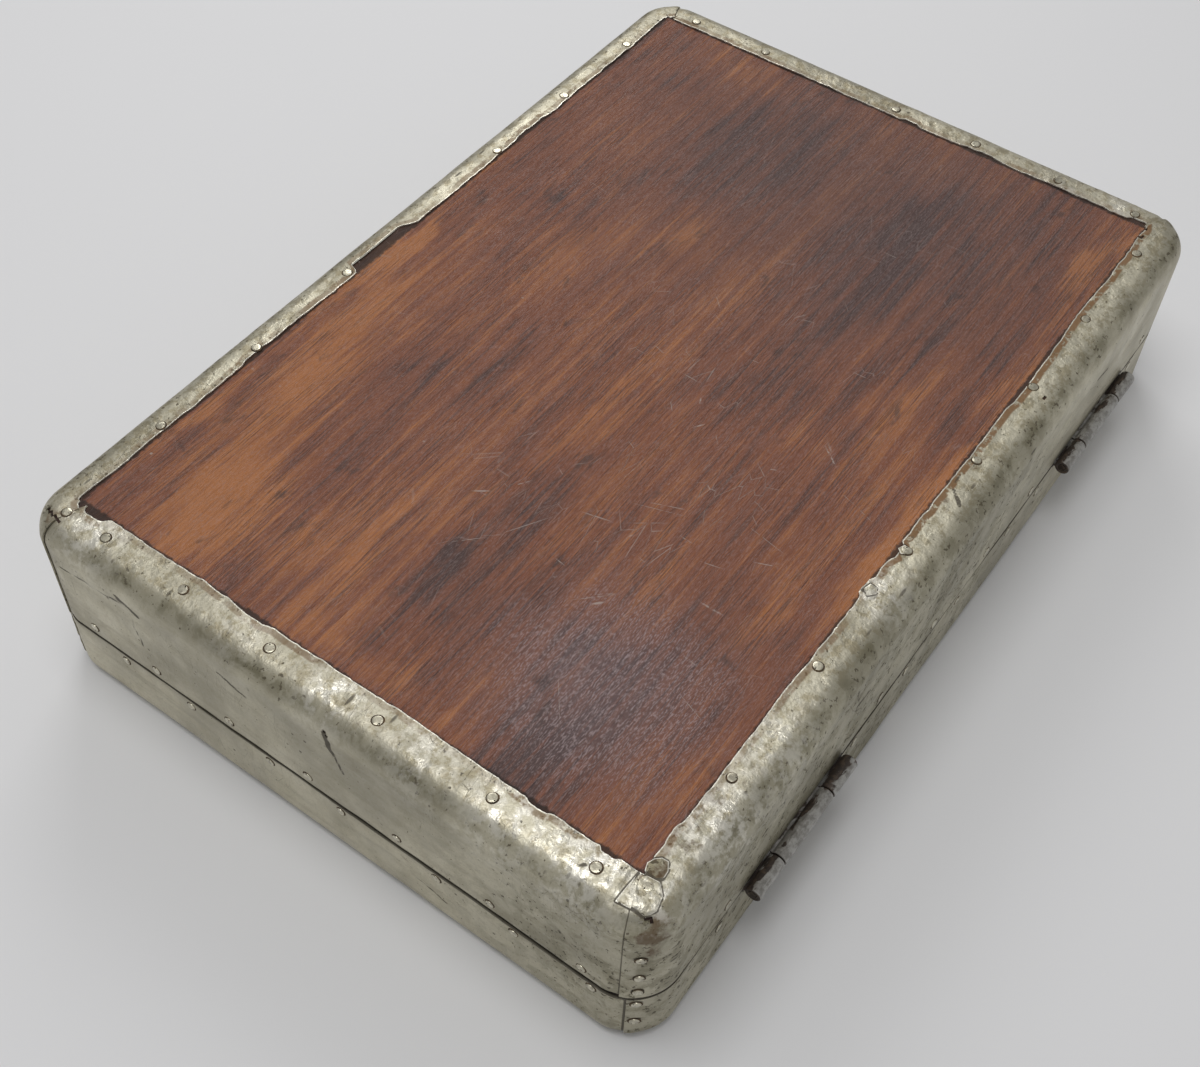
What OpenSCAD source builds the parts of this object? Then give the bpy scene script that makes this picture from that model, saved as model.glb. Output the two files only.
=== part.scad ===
// Metal-clad wooden silverware chest with a hinged lid.
// The chest rests on the XY plane. X runs along its hinge side, which is the
// back, at +Y. Z is up, and the origin is the centre of the underside.

/* [Chest] */
// Length of the chest along its hinge side
box_l = 300; // [260:1:360]
// Width of the chest from front to back
box_w = 204; // [180:1:250]
// Height of the base from its underside to its rim
base_h = 24.4; // [22:0.2:40]
// Height of the lid from its rim to its top
lid_h = 38; // [32:0.5:60]
// Gap between the rims of the closed chest
parting_gap = 0.4; // [0.3:0.1:0.6]
// Radius of the four upright corners
corner_r = 13.7; // [12:0.1:16]
// Radius of the rolled edge round the top of the lid
top_edge_r = 7.2; // [5:0.1:8]
// Radius of the rolled edge round the bottom of the base
bottom_edge_r = 4.5; // [2:0.1:6]

/* [Wooden case] */
// Thickness of the side walls
wall_t = 9; // [8:0.1:12]
// Thickness of the board that closes the lid
lid_board_t = 9; // [8:0.1:12]
// Thickness of the board that closes the base
base_board_t = 6; // [5:0.1:8]
// Depth of the corner rabbets that hold the short walls
rabbet_d = 4; // [2:0.1:6]

/* [Metal cladding] */
// Thickness of the sheet metal
sheet_t = 0.4; // [0.3:0.05:0.6]
// Air between the sheet and the wood under it
sheet_fit = 0.1; // [0.05:0.05:0.2]
// Width of the metal border on top along the right end
rim_right = 14; // [12:0.1:18]
// Width of the metal border on top along the back
rim_back = 13; // [12.2:0.1:18]
// Width of the metal border on top along the left end
rim_left = 12.2; // [11:0.1:18]
// Width of the metal border on top along the front
rim_front = 10.7; // [10.6:0.1:18]
// Width of the metal border under the base
rim_under = 14; // [12:0.1:20]
// Angle round each corner at which the long sheets end, from the short end's face
seam_angle = 30; // [15:1:60]
// Gap along the seam between two sheets
seam_gap = 0.2; // [0.1:0.1:0.5]

/* [Pins] */
// Diameter of a pin's flat head
pin_head_d = 2.8; // [2:0.1:3]
// Thickness of a pin's flat head
pin_head_t = 0.3; // [0.2:0.05:0.35]
// Diameter of a pin's shank
pin_shank_d = 1.2; // [0.8:0.1:1.4]
// Length of a pin under its head
pin_l = 7.5; // [5:0.1:8]
// Length under the head of the pins under the base
under_pin_l = 4.8; // [3:0.1:4.8]
// Distance of the top pins from the outer face, along the ends and the front
pin_inset = 8.8; // [8.4:0.1:9.2]
// Distance of the top pins from the outer face, along the back
back_pin_inset = 10.4; // [8.4:0.1:10.6]
// Height of the lid's rim pins above the lid's rim
lid_pin_rise = 3.6; // [2.6:0.1:5]
// Depth of the base's rim pins below the base's rim
base_pin_drop = 3.2; // [2.6:0.1:5]

/* [Hinges] */
// Length of each hinge
hinge_l = 48; // [40:1:56]
// Distance of the right hinge's middle from the right end
hinge_right_inset = 66; // [50:1:75]
// Distance of the left hinge's middle from the left end
hinge_left_inset = 59; // [50:1:75]
// Thickness of a hinge leaf
leaf_t = 1; // [0.8:0.1:1.4]
// Reach of a leaf onto the rim, from the outer face
leaf_reach = 7.5; // [6.5:0.1:8]
// Outer diameter of the knuckles
knuckle_d = 4.8; // [4.6:0.1:5.4]
// Diameter of the hinge pin
hinge_pin_d = 2.4; // [1.8:0.1:2.6]
// Gap between the two leaves of a closed hinge
leaf_gap = 0.1; // [0.1:0.05:0.2]
// Diameter of the hinge screws' shank
screw_d = 1.8; // [1.4:0.1:2]
// Length of the hinge screws
screw_l = 7; // [5:0.1:9]

/* [Lining and racks] */
// Thickness of the felt lining
felt_t = 1.2; // [0.8:0.1:1.6]
// Bare wood left between the lining's edge and the rim
lining_reveal = 3; // [1:0.1:5]
// Thickness of each rack
rack_t = 12; // [8:0.5:16]
// Height of each rack
rack_h = 26; // [22:0.5:30]
// Distance between the middles of the two racks
rack_spacing = 144; // [110:1:180]
// Number of notches in each rack
notch_count = 7; // [5:1:8]
// Width of each notch
notch_w = 13; // [9:0.5:15]
// Depth of each notch
notch_d = 13; // [9:0.5:16]

/* [Front hook] */
// Distance along the front from the hook's pivot to the stud that it catches
hook_offset = 18; // [14:0.5:20]
// Height of the hook's pivot above the lid's rim
hook_rise = 8; // [7:0.5:10]
// Depth of the stud below the base's rim
stud_drop = 8; // [7:0.5:9]
// Thickness of the hook
hook_t = 1.2; // [0.8:0.1:1.6]
// Width of the hook's arm
hook_arm_w = 3; // [2.4:0.1:4]
// Outer diameter of the hook's eye
hook_eye_d = 7; // [6:0.1:8]
// Diameter of the pivot and of the stud's neck
hook_pivot_d = 3; // [2.4:0.1:3.6]

/* [Hidden] */
$fn = 48;

// Heights
lid_z = base_h + parting_gap;
top_z = lid_z + lid_h;
parting_z = base_h + parting_gap / 2;

// The wood lies inside the sheets by their thickness and a little air
skin = sheet_t + sheet_fit;
half_l = box_l / 2;
half_w = box_w / 2;
inner_half_l = half_l - skin - wall_t;
inner_half_w = half_w - skin - wall_t;
base_floor_z = skin + base_board_t;
lid_ceiling_z = top_z - skin - lid_board_t;

// Middles of the corner arcs
core_x = half_l - corner_r;
core_y = half_w - corner_r;

// A cut that has to pass right through runs on by this much
through = 1;
far = box_l + box_w;

// Fits
pin_fit = 0.05;
hinge_fit = 0.05;
mortise_fit = 0.1;
screw_fit = 0.05;
running_gap = 0.3;
end_float = 0.2;
lining_fit = 0.1;
rack_fit = 1;

// The hinge axis stands off the back so that the knuckles clear both halves
hinge_right_x = half_l - hinge_right_inset;
hinge_left_x = hinge_left_inset - half_l;
hinge_y = half_w + knuckle_d / 2 + running_gap;
knuckle_share = 0.25;
end_knuckle_l = hinge_l * knuckle_share;
screw_head_d = 2 * screw_d;
screw_slot_w = 0.4;
screw_slot_d = 0.3;
screw_spread = hinge_l / 3;
screw_inset = leaf_reach / 2;

// Where the pins stand along each side, as shares of half that side's length
top_back_pins = [-0.83, -0.59, -0.36, -0.13, 0.13, 0.43, 0.69, 0.92];
top_front_pins = [-0.77, -0.53, -0.29, 0.19, 0.45, 0.7];
top_right_pins = [-0.89, -0.75, -0.48, -0.19, 0.15, 0.49, 0.78];
top_left_pins = [-0.8, -0.52, -0.02, 0.27, 0.56, 0.82];
lid_back_pins = [-0.86, -0.33, -0.14, 0.07, 0.27, 0.77];
base_back_pins = [-0.82, -0.38, -0.25, -0.04, 0.16, 0.35, 0.79];
lid_right_pins = [-0.8, -0.57, -0.31, -0.04, 0.25, 0.54, 0.81];
base_right_pins = [-0.7, -0.46, -0.18, 0.06, 0.37, 0.61, 0.84];
lid_front_pins = [-0.8, -0.56, -0.31, -0.09, 0.16, 0.37, 0.6, 0.82];
base_front_pins = [-0.84, -0.62, -0.41, -0.17, 0.1, 0.33, 0.55, 0.79];
under_pins = [-0.72, -0.36, 0, 0.36, 0.72];

// Heights of the corner pins, as shares of the straight part of each corner
lid_corner_pins = [0.12, 0.38, 0.7];
base_corner_pins = [0.32, 0.84];
corner_pin_turn = 9;

// Front hook. It hangs from its pivot on the lid, and swings aside and up to
// catch the stud on the base.
hook_z = lid_z + hook_rise;
stud_z = base_h - stud_drop;
hook_reach = norm([hook_offset, hook_z - stud_z]);
hook_stand_off = 0.8;
hook_side_fit = 0.1;
hook_head_t = 1;
hook_head_d = hook_pivot_d + 2.6;
hook_shank_d = 2;
hook_shank_l = 7;
catch_fit = 0.25;
// Width of the hook's lip round the stud, as a share of its arm's width
hook_lip_share = 0.8;

// Racks
rack_half_l = inner_half_w - lining_fit - felt_t - rack_fit;
rack_z = base_floor_z + lining_fit + felt_t;
// The two solid ends of a rack, as a share of the notches' pitch
rack_ends_share = 0.4;
notch_pitch = 2 * rack_half_l / (notch_count + rack_ends_share);

// Block with rounded upright corners and a rolled edge round its top
module edge_profile(reach, height, edge_r) {
    square([reach - edge_r, height]);
    square([reach, height - edge_r]);
    translate([reach - edge_r, height - edge_r])
        intersection() {
            circle(edge_r);
            square(edge_r);
        }
}

module rounded_block(length, width, height, upright_r, edge_r) {
    core_l = length / 2 - upright_r;
    core_w = width / 2 - upright_r;
    rotate([90, 0, 90])
        linear_extrude(2 * core_l, center = true) {
            edge_profile(width / 2, height, edge_r);
            mirror([1, 0]) edge_profile(width / 2, height, edge_r);
        }
    for (side = [0, 1])
        mirror([side, 0, 0])
            translate([core_l, 0, 0])
                rotate([90, 0, 0])
                    linear_extrude(2 * core_w, center = true) edge_profile(upright_r, height, edge_r);
    for (side_x = [0, 1], side_y = [0, 1])
        mirror([side_x, 0, 0])
            mirror([0, side_y, 0])
                translate([core_l, core_w, 0])
                    rotate_extrude(angle = 90) edge_profile(upright_r, height, edge_r);
}

// Each half of the chest, drawn in from its outside by inset
module lid_block(inset, below = 0) {
    translate([0, 0, lid_z - below])
        rounded_block(
            box_l - 2 * inset, box_w - 2 * inset, lid_h - inset + below,
            corner_r - inset, top_edge_r - inset
        );
}

module base_block(inset, above = 0) {
    translate([0, 0, base_h + above])
        mirror([0, 0, 1])
            rounded_block(
                box_l - 2 * inset, box_w - 2 * inset, base_h - inset + above,
                corner_r - inset, bottom_edge_r - inset
            );
}

// Plan area of a long wall. The short walls fit in its rabbets.
module long_wall_plan() {
    difference() {
        translate([-half_l, inner_half_w]) square([box_l, half_w - inner_half_w]);
        for (side = [-1, 1])
            translate([side * half_l, inner_half_w])
                square([2 * (half_l - inner_half_l), 2 * rabbet_d], center = true);
    }
}

module short_wall_plan() {
    translate([inner_half_l, -inner_half_w - rabbet_d])
        square([half_l - inner_half_l, 2 * (inner_half_w + rabbet_d)]);
}

module lid_wall() {
    intersection() {
        lid_block(skin);
        translate([0, 0, lid_z]) linear_extrude(lid_ceiling_z - lid_z) children();
    }
}

module base_wall() {
    intersection() {
        base_block(skin);
        translate([0, 0, base_floor_z]) linear_extrude(base_h - base_floor_z) children();
    }
}

// Plan area that the back sheets cover, up to the seam in each corner. The front
// is its mirror image, and the ends take what is left, less the seam's gap.
module long_sheet_plan(grow = 0) {
    polygon([
        [-core_x + corner_r, core_y - corner_r - grow],
        [-core_x, core_y - grow],
        [-core_x - far * cos(seam_angle), core_y + far * sin(seam_angle) - grow],
        [0, 2 * far],
        [core_x + far * cos(seam_angle), core_y + far * sin(seam_angle) - grow],
        [core_x, core_y - grow],
        [core_x - corner_r, core_y - corner_r - grow]
    ]);
}

module upright(height) {
    translate([0, 0, -through]) linear_extrude(height + 2 * through) children();
}

module lid_sheets() {
    difference() {
        lid_block(0);
        lid_block(sheet_t, through);
        translate([rim_left - half_l, rim_front - half_w, lid_z])
            cube([box_l - rim_left - rim_right, box_w - rim_front - rim_back, lid_h + through]);
    }
}

module base_sheets() {
    difference() {
        base_block(0);
        base_block(sheet_t, through);
        translate([rim_under - half_l, rim_under - half_w, -through])
            cube([box_l - 2 * rim_under, box_w - 2 * rim_under, base_h]);
    }
}

module back_sheet_zone() {
    intersection() {
        children();
        upright(top_z) long_sheet_plan();
    }
}

module front_sheet_zone() {
    intersection() {
        children();
        mirror([0, 1, 0]) upright(top_z) long_sheet_plan();
    }
}

module end_sheet_zone(side) {
    difference() {
        intersection() {
            children();
            translate([side > 0 ? 0 : -far, -far, -through]) cube([far, 2 * far, top_z + 2 * through]);
        }
        upright(top_z) long_sheet_plan(seam_gap);
        mirror([0, 1, 0]) upright(top_z) long_sheet_plan(seam_gap);
    }
}

// Pin with its head on the plane z = 0, pointing down. With a fit, it is the hole.
module pin(fit = 0) {
    if (fit == 0) cylinder(h = pin_head_t, d = pin_head_d);
    translate([0, 0, -pin_l - fit]) cylinder(h = pin_l + 2 * fit, d = pin_shank_d + 2 * fit);
}

// Pins in a row on an upright face: along X at the back, in the pin's own frame
module row_on_back(shares, z, fit = 0) {
    for (share = shares)
        translate([share * half_l, half_w, z]) rotate([-90, 0, 0]) pin(fit);
}

module row_on_front(shares, z, fit = 0) {
    for (share = shares)
        translate([share * half_l, -half_w, z]) rotate([90, 0, 0]) pin(fit);
}

module row_on_end(side, shares, z, fit = 0) {
    for (share = shares)
        translate([side * half_l, share * half_w, z]) rotate([0, side * 90, 0]) pin(fit);
}

// Pins beside the corner seams, on the long sheets
module corner_pins_at(z, fit = 0) {
    turn = seam_angle + corner_pin_turn;
    lift = fit == 0 ? pin_fit + corner_r - sqrt(corner_r * corner_r - pin_head_d * pin_head_d / 4) : 0;
    for (side_x = [-1, 1], side_y = [-1, 1])
        translate([side_x * core_x, side_y * core_y, z])
            rotate([0, 0, side_y * (side_x > 0 ? turn : 180 - turn)])
                translate([corner_r + lift, 0, 0]) rotate([0, 90, 0]) pin(fit);
}

module top_pin_rows(fit = 0) {
    translate([0, 0, top_z]) {
        for (share = top_back_pins)
            translate([share * half_l, half_w - back_pin_inset, 0]) pin(fit);
        for (share = top_front_pins)
            translate([share * half_l, pin_inset - half_w, 0]) pin(fit);
        for (share = top_right_pins)
            translate([half_l - pin_inset, share * half_w, 0]) pin(fit);
        for (share = top_left_pins)
            translate([pin_inset - half_l, share * half_w, 0]) pin(fit);
    }
}

module lid_rim_rows(fit = 0) {
    z = lid_z + lid_pin_rise;
    row_on_back(lid_back_pins, z, fit);
    row_on_front(lid_front_pins, z, fit);
    row_on_end(1, lid_right_pins, z, fit);
    row_on_end(-1, lid_right_pins, z, fit);
}

module base_rim_rows(fit = 0) {
    z = base_h - base_pin_drop;
    row_on_back(base_back_pins, z, fit);
    row_on_front(base_front_pins, z, fit);
    row_on_end(1, base_right_pins, z, fit);
    row_on_end(-1, base_right_pins, z, fit);
}

module lid_corner_columns(fit = 0) {
    for (share = lid_corner_pins)
        corner_pins_at(lid_z + share * (lid_h - top_edge_r), fit);
}

module base_corner_columns(fit = 0) {
    for (share = base_corner_pins)
        corner_pins_at(bottom_edge_r + share * (base_h - bottom_edge_r), fit);
}

// The pins under the base are let in flush, so their heads go through the sheet
module under_pin_rows(fit = 0) {
    head_gap = (sheet_t - pin_head_t) / 2;
    inset = rim_under - pin_head_d;
    for (share = under_pins) {
        for (side = [-1, 1]) {
            translate([share * half_l, side * (half_w - inset), head_gap + pin_head_t])
                mirror([0, 0, 1]) under_pin(fit);
            translate([side * (half_l - inset), share * half_w, head_gap + pin_head_t])
                mirror([0, 0, 1]) under_pin(fit);
        }
    }
}

module under_pin(fit = 0) {
    if (fit == 0)
        cylinder(h = pin_head_t, d = pin_head_d);
    else
        translate([0, 0, -sheet_t]) cylinder(h = 2 * sheet_t + through, d = pin_head_d + 4 * fit);
    translate([0, 0, -under_pin_l - fit])
        cylinder(h = under_pin_l + 2 * fit, d = pin_shank_d + 2 * fit);
}

module all_lid_holes() {
    top_pin_rows(pin_fit);
    lid_rim_rows(pin_fit);
    lid_corner_columns(pin_fit);
}

module all_base_holes() {
    base_rim_rows(pin_fit);
    base_corner_columns(pin_fit);
}

// Hinges. Each child is drawn about a hinge's own axis, which runs along X.
module at_hinge(x) {
    translate([x, hinge_y, parting_z]) children();
}

module at_hinges() {
    for (x = [hinge_left_x, hinge_right_x]) at_hinge(x) children();
}

// One leaf, on the upper side of the parting plane, with its screw holes
module leaf_plate() {
    face_y = half_w - hinge_y;
    difference() {
        translate([-hinge_l / 2, face_y - leaf_reach, leaf_gap / 2])
            cube([hinge_l, leaf_reach, leaf_t]);
        screw_row() screw_hole();
    }
}

// The screws enter a leaf from the parting plane
module screw_row() {
    for (i = [-1 : 1])
        translate([i * screw_spread, half_w - hinge_y - screw_inset, leaf_gap / 2]) children();
}

module screw_hole() {
    translate([0, 0, -screw_fit])
        cylinder(h = leaf_t, d1 = screw_head_d + 4 * screw_fit, d2 = screw_d + 2 * screw_fit);
    cylinder(h = screw_l + screw_fit, d = screw_d + 2 * screw_fit);
}

module screw() {
    difference() {
        union() {
            translate([0, 0, screw_fit])
                cylinder(h = leaf_t - screw_fit, d1 = screw_head_d, d2 = screw_d);
            translate([0, 0, screw_fit]) cylinder(h = screw_l - screw_fit, d = screw_d);
        }
        translate([-screw_head_d, -screw_slot_w / 2, 0])
            cube([2 * screw_head_d, screw_slot_w, screw_slot_d + screw_fit]);
    }
}

module knuckle(from_x, length) {
    translate([from_x, 0, 0]) rotate([0, 90, 0]) cylinder(h = length, d = knuckle_d);
    translate([from_x, half_w - hinge_y - through, leaf_gap / 2])
        cube([length, hinge_y - half_w + through, leaf_t]);
}

module knuckle_bore() {
    translate([-hinge_l / 2 - through, 0, 0])
        rotate([0, 90, 0])
            cylinder(h = hinge_l + 2 * through, d = hinge_pin_d + 2 * hinge_fit);
}

module lid_leaf() {
    difference() {
        union() {
            leaf_plate();
            knuckle(end_float / 2 + end_knuckle_l - hinge_l / 2, hinge_l - 2 * end_knuckle_l - end_float);
        }
        knuckle_bore();
    }
}

module base_leaf() {
    mirror([0, 0, 1])
        difference() {
            union() {
                leaf_plate();
                knuckle(-hinge_l / 2, end_knuckle_l - end_float / 2);
                knuckle(hinge_l / 2 - end_knuckle_l + end_float / 2, end_knuckle_l - end_float / 2);
            }
            knuckle_bore();
        }
}

module hinge_pin() {
    rotate([0, 90, 0]) cylinder(h = hinge_l, d = hinge_pin_d, center = true);
}

// Pocket in the rims and notch in the back sheets for both leaves of each hinge
module leaf_pockets() {
    depth = leaf_gap / 2 + leaf_t + mortise_fit;
    at_hinges()
        translate([
            -hinge_l / 2 - mortise_fit,
            half_w - hinge_y - leaf_reach - mortise_fit,
            -depth
        ])
            cube([hinge_l + 2 * mortise_fit, leaf_reach + mortise_fit + through, 2 * depth]);
}

module lid_screw_holes() {
    at_hinges() screw_row() screw_hole();
}

module base_screw_holes() {
    at_hinges() mirror([0, 0, 1]) screw_row() screw_hole();
}

// Pieces on the front, drawn with +Z pointing out of the front face
module at_hook_pivot() {
    translate([-hook_offset / 2, -half_w, hook_z]) rotate([90, 0, 0]) children();
}

module at_catch_stud() {
    translate([hook_offset / 2, -half_w, stud_z]) rotate([90, 0, 0]) children();
}

module front_screw_hole() {
    translate([0, 0, -hook_shank_l - pin_fit])
        cylinder(h = hook_shank_l + 2 * pin_fit, d = hook_shank_d + 2 * pin_fit);
}

// Round-headed shoulder screw: shank, collar, shoulder and head
module shoulder_screw(collar_d) {
    shoulder_l = hook_stand_off + hook_t + 2 * hook_side_fit;
    translate([0, 0, -hook_shank_l]) cylinder(h = hook_shank_l, d = hook_shank_d);
    cylinder(h = hook_stand_off, d = collar_d);
    cylinder(h = shoulder_l, d = hook_pivot_d);
    translate([0, 0, shoulder_l]) cylinder(h = hook_head_t, d = hook_head_d);
}

// The hook hangs from its eye along -Y here, with its mouth open towards +X
module hook_shape() {
    mouth_d = hook_pivot_d + 2 * catch_fit;
    tip_d = mouth_d + 2 * hook_lip_share * hook_arm_w;
    difference() {
        union() {
            cylinder(h = hook_t, d = hook_eye_d);
            translate([-hook_arm_w / 2, -hook_reach, 0]) cube([hook_arm_w, hook_reach, hook_t]);
            translate([0, -hook_reach, 0]) cylinder(h = hook_t, d = tip_d);
        }
        translate([0, 0, -through])
            cylinder(h = hook_t + 2 * through, d = hook_pivot_d + 2 * hinge_fit);
        translate([0, -hook_reach, -through]) cylinder(h = hook_t + 2 * through, d = mouth_d);
        translate([0, -hook_reach - mouth_d / 2, -through])
            cube([tip_d, mouth_d, hook_t + 2 * through]);
    }
}

// Felt tray, open upwards, standing on z = 0
module felt_tray(height) {
    tray_l = 2 * (inner_half_l - lining_fit);
    tray_w = 2 * (inner_half_w - lining_fit);
    difference() {
        translate([-tray_l / 2, -tray_w / 2, 0]) cube([tray_l, tray_w, height]);
        translate([felt_t - tray_l / 2, felt_t - tray_w / 2, felt_t])
            cube([tray_l - 2 * felt_t, tray_w - 2 * felt_t, height]);
    }
}

// Rack across the chest, with round-bottomed notches for the handles
module rack_shape() {
    difference() {
        translate([-rack_t / 2, -rack_half_l, 0]) cube([rack_t, 2 * rack_half_l, rack_h]);
        for (i = [0 : notch_count - 1])
            translate([0, (i - (notch_count - 1) / 2) * notch_pitch, rack_h - notch_d + notch_w / 2]) {
                rotate([0, 90, 0]) cylinder(h = rack_t + 2 * through, d = notch_w, center = true);
                translate([-rack_t / 2 - through, -notch_w / 2, 0])
                    cube([rack_t + 2 * through, notch_w, notch_d]);
            }
    }
}

// Wooden case of the base
module base_board() {
    color("saddlebrown")
        difference() {
            intersection() {
                base_block(skin);
                translate([-far, -far, 0]) cube([2 * far, 2 * far, base_floor_z]);
            }
            under_pin_rows(pin_fit);
        }
}

module base_front_wall() {
    color("sienna")
        difference() {
            base_wall() mirror([0, 1]) long_wall_plan();
            all_base_holes();
            at_catch_stud() front_screw_hole();
        }
}

module base_back_wall() {
    color("sienna")
        difference() {
            base_wall() long_wall_plan();
            all_base_holes();
            leaf_pockets();
            base_screw_holes();
        }
}

module base_left_wall() {
    color("sienna")
        difference() {
            base_wall() mirror([1, 0]) short_wall_plan();
            all_base_holes();
        }
}

module base_right_wall() {
    color("sienna")
        difference() {
            base_wall() short_wall_plan();
            all_base_holes();
        }
}

// Sheet metal round the base
module base_front_clad() {
    color("darkkhaki")
        difference() {
            front_sheet_zone() base_sheets();
            all_base_holes();
            under_pin_rows(pin_fit);
            at_catch_stud() front_screw_hole();
        }
}

module base_back_clad() {
    color("darkkhaki")
        difference() {
            back_sheet_zone() base_sheets();
            all_base_holes();
            under_pin_rows(pin_fit);
            leaf_pockets();
        }
}

module base_left_clad() {
    color("tan")
        difference() {
            end_sheet_zone(-1) base_sheets();
            all_base_holes();
            under_pin_rows(pin_fit);
        }
}

module base_right_clad() {
    color("tan")
        difference() {
            end_sheet_zone(1) base_sheets();
            all_base_holes();
            under_pin_rows(pin_fit);
        }
}

module base_under_pins() {
    color("silver") under_pin_rows();
}

module base_rim_pins() {
    color("silver") base_rim_rows();
}

module base_corner_pins() {
    color("silver") base_corner_columns();
}

// Felt and racks of the base
module base_lining() {
    color("darkolivegreen")
        translate([0, 0, base_floor_z + lining_fit])
            felt_tray(base_h - lining_reveal - base_floor_z - lining_fit);
}

module left_rack() {
    color("peru") translate([-rack_spacing / 2, 0, rack_z]) rack_shape();
}

module right_rack() {
    color("peru") translate([rack_spacing / 2, 0, rack_z]) rack_shape();
}

// Hinges
module left_hinge_base_leaf() {
    color("dimgray") at_hinge(hinge_left_x) base_leaf();
}

module right_hinge_base_leaf() {
    color("dimgray") at_hinge(hinge_right_x) base_leaf();
}

module left_hinge_lid_leaf() {
    color("gray") at_hinge(hinge_left_x) lid_leaf();
}

module right_hinge_lid_leaf() {
    color("gray") at_hinge(hinge_right_x) lid_leaf();
}

module left_hinge_pin() {
    color("lightgray") at_hinge(hinge_left_x) hinge_pin();
}

module right_hinge_pin() {
    color("lightgray") at_hinge(hinge_right_x) hinge_pin();
}

module base_hinge_screws() {
    color("silver") at_hinges() mirror([0, 0, 1]) screw_row() screw();
}

module lid_hinge_screws() {
    color("silver") at_hinges() screw_row() screw();
}

// Front hook and the stud that it catches
module catch_stud() {
    color("goldenrod") at_catch_stud() shoulder_screw(hook_pivot_d);
}

module hook_pivot() {
    color("goldenrod") at_hook_pivot() shoulder_screw(hook_head_d);
}

module hook() {
    color("gold")
        at_hook_pivot()
            translate([0, 0, hook_stand_off + hook_side_fit]) hook_shape();
}

// Wooden case of the lid
module lid_board() {
    color("brown")
        difference() {
            intersection() {
                lid_block(skin);
                translate([-far, -far, lid_ceiling_z]) cube([2 * far, 2 * far, lid_h]);
            }
            top_pin_rows(pin_fit);
        }
}

module lid_front_wall() {
    color("sienna")
        difference() {
            lid_wall() mirror([0, 1]) long_wall_plan();
            all_lid_holes();
            at_hook_pivot() front_screw_hole();
        }
}

module lid_back_wall() {
    color("sienna")
        difference() {
            lid_wall() long_wall_plan();
            all_lid_holes();
            leaf_pockets();
            lid_screw_holes();
        }
}

module lid_left_wall() {
    color("sienna")
        difference() {
            lid_wall() mirror([1, 0]) short_wall_plan();
            all_lid_holes();
        }
}

module lid_right_wall() {
    color("sienna")
        difference() {
            lid_wall() short_wall_plan();
            all_lid_holes();
        }
}

// Sheet metal round the lid
module lid_front_clad() {
    color("darkkhaki")
        difference() {
            front_sheet_zone() lid_sheets();
            all_lid_holes();
            at_hook_pivot() front_screw_hole();
        }
}

module lid_back_clad() {
    color("darkkhaki")
        difference() {
            back_sheet_zone() lid_sheets();
            all_lid_holes();
            leaf_pockets();
        }
}

module lid_left_clad() {
    color("tan")
        difference() {
            end_sheet_zone(-1) lid_sheets();
            all_lid_holes();
        }
}

module lid_right_clad() {
    color("tan")
        difference() {
            end_sheet_zone(1) lid_sheets();
            all_lid_holes();
        }
}

module lid_top_pins() {
    color("silver") top_pin_rows();
}

module lid_rim_pins() {
    color("silver") lid_rim_rows();
}

module lid_corner_pins() {
    color("silver") lid_corner_columns();
}

module lid_lining() {
    color("darkolivegreen")
        translate([0, 0, lid_ceiling_z - lining_fit])
            mirror([0, 0, 1])
                felt_tray(lid_ceiling_z - lining_fit - lid_z - lining_reveal);
}

base_board();
base_front_wall();
base_back_wall();
base_left_wall();
base_right_wall();
base_front_clad();
base_back_clad();
base_left_clad();
base_right_clad();
base_under_pins();
base_rim_pins();
base_corner_pins();
base_lining();
left_rack();
right_rack();
left_hinge_base_leaf();
right_hinge_base_leaf();
left_hinge_pin();
right_hinge_pin();
base_hinge_screws();
catch_stud();
lid_board();
lid_front_wall();
lid_back_wall();
lid_left_wall();
lid_right_wall();
lid_front_clad();
lid_back_clad();
lid_left_clad();
lid_right_clad();
lid_top_pins();
lid_rim_pins();
lid_corner_pins();
lid_lining();
left_hinge_lid_leaf();
right_hinge_lid_leaf();
lid_hinge_screws();
hook_pivot();
hook();
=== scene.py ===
"""Silverware chest: a wooden box clad in nailed sheet metal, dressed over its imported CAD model."""

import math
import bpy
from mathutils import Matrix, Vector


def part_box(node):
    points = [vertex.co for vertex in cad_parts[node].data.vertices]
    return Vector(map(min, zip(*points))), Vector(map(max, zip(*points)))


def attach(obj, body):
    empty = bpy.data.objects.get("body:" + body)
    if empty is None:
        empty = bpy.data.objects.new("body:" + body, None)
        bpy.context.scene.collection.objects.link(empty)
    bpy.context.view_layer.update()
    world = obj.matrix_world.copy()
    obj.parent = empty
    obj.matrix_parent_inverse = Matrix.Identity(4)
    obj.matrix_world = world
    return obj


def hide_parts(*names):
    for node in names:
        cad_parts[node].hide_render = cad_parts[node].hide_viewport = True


bl_info = {
    "name": "Silverware chest",
    "version": (1, 0, 0),
    "blender": (4, 5, 0),
    "location": "View3D > Sidebar > Chest",
    "description": "Dresses the packed chest with sheet metal, pins, worn wood, hinges and felt",
    "category": "Object",
}

import bmesh
import bpy
import numpy as np
from bpy.props import FloatProperty, FloatVectorProperty, IntProperty, PointerProperty
from mathutils import Matrix, Vector

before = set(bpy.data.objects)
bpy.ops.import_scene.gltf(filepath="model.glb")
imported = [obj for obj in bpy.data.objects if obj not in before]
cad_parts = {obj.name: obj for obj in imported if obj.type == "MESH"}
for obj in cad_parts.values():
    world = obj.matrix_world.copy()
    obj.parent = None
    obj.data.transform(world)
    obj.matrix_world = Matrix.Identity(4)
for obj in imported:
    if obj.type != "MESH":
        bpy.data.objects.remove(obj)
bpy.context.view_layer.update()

# The code below works in millimetres and turns them into metres as a mesh is placed
MM = 0.001


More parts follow.
